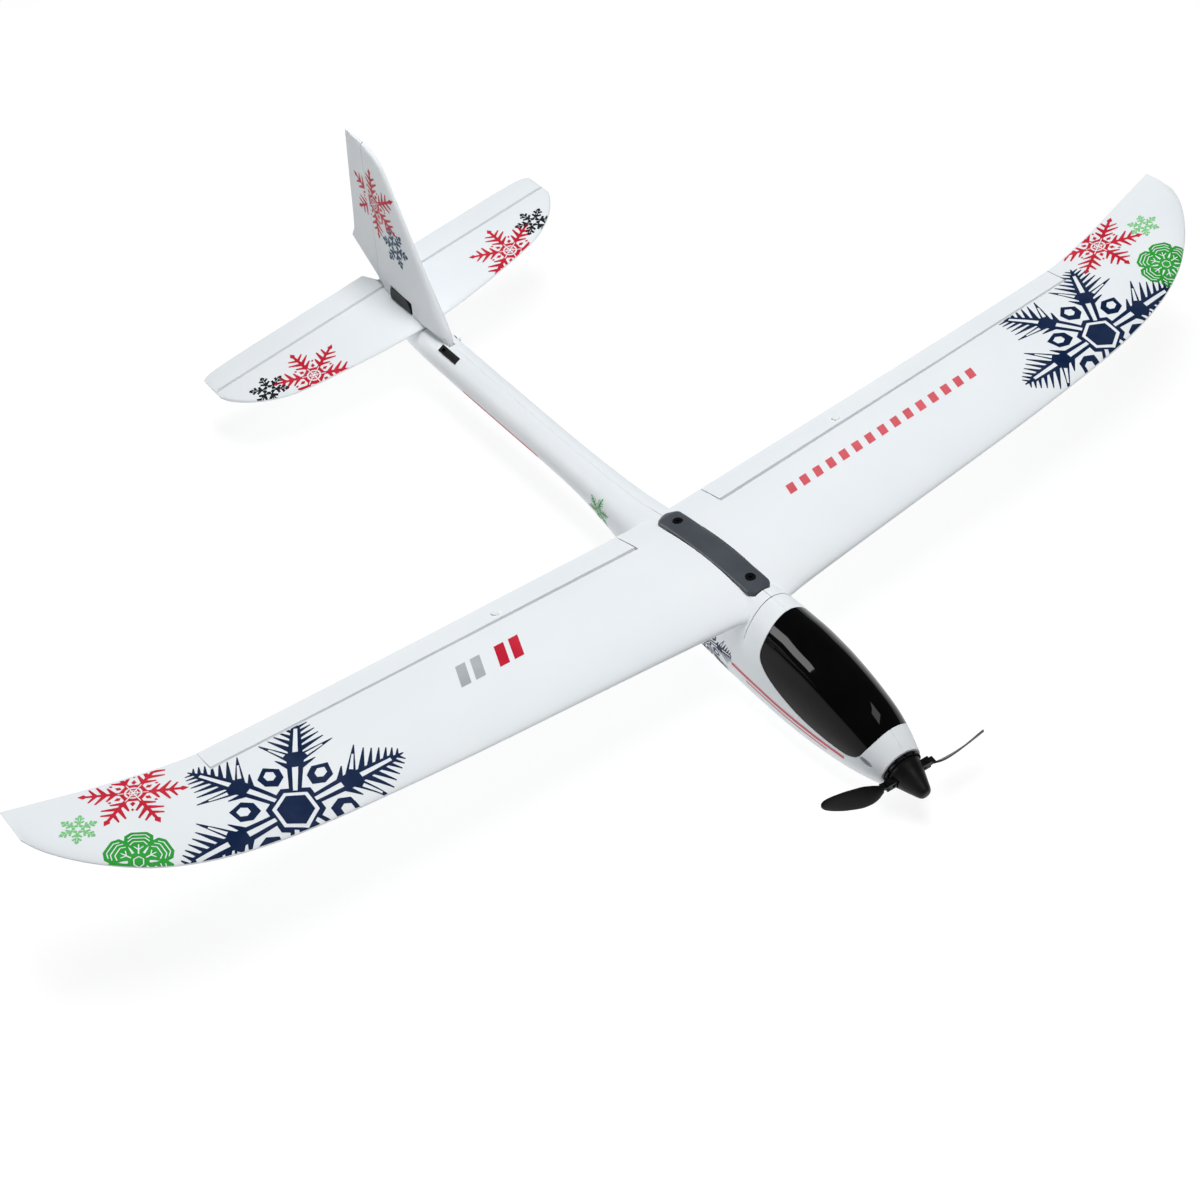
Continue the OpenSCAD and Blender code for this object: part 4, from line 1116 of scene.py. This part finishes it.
floor_mat, floor_tree, floor_shader = material("floor_white", (0.17, 0.17, 0.17), 0.75)
floor_shader.inputs["Emission Color"].default_value = (1, 1, 1, 1)
floor_shader.inputs["Emission Strength"].default_value = 0.87
floor_tree.links.new(ramp(floor_tree, noise(floor_tree, object_place(floor_tree), 6.0), 0.3, 0.7, 0.72, 0.78),
                     floor_shader.inputs["Roughness"])
floor_corners = [(x * FLOOR_HALF, y * FLOOR_HALF, FLOOR_Z) for x, y in ((-1, -1), (1, -1), (1, 1), (-1, 1))]
floor = new_object("studio_floor", floor_corners, [[0, 1, 2, 3]])
floor.data.materials.append(floor_mat)

world = bpy.data.worlds.new("studio")
scene.world = world
world.use_nodes = True
world.node_tree.nodes["Background"].inputs["Color"].default_value = (0.97, 0.985, 1.0, 1)
world.node_tree.nodes["Background"].inputs["Strength"].default_value = 0.09


def softbox(name, at, aim, size, watts, colour=(1, 1, 1)):
    data = bpy.data.lights.new(name, "AREA")
    data.shape, data.size, data.size_y = "RECTANGLE", size[0], size[1]
    data.energy, data.color = watts, colour
    lamp = bpy.data.objects.new(name, data)
    scene.collection.objects.link(lamp)
    lamp.location = at
    lamp.rotation_euler = (Vector(aim) - Vector(at)).to_track_quat("-Z", "Y").to_euler()
    return lamp


key = softbox("key_top", (-0.1, 0.04, 1.5), (-0.1, 0, 0.05), (1.0, 0.6), 22.5)
key.visible_glossy = False
for name, at, size, watts in (
        ("strip_side", (-1.0, -1.2, 0.75), (1.5, 0.45), 22),
        ("patch_front", (1.32, 0.42, 2.1), (1.0, 0.62), 8)):
    strip = softbox(name, at, GLOSS_AIM, size, watts)
    strip.visible_diffuse = False

camera_data = bpy.data.cameras.new("camera")
camera = bpy.data.objects.new("camera", camera_data)
scene.collection.objects.link(camera)
camera_data.sensor_fit = "HORIZONTAL"
camera_data.angle = math.radians(30.06)
camera_data.clip_start, camera_data.clip_end = 0.05, 60
view_ahead = Vector((-0.57984, 0.39021, -0.71521)).normalized()
view_right = Vector((0.60382, 0.79517, -0.0557))
view_right = (view_right - view_ahead * view_right.dot(view_ahead)).normalized()
view_up = view_right.cross(view_ahead)
camera.matrix_world = Matrix((
    (view_right.x, view_up.x, -view_ahead.x, CAMERA_AT[0]),
    (view_right.y, view_up.y, -view_ahead.y, CAMERA_AT[1]),
    (view_right.z, view_up.z, -view_ahead.z, CAMERA_AT[2]), (0, 0, 0, 1)))
scene.camera = camera
scene.view_settings.view_transform = "Standard"
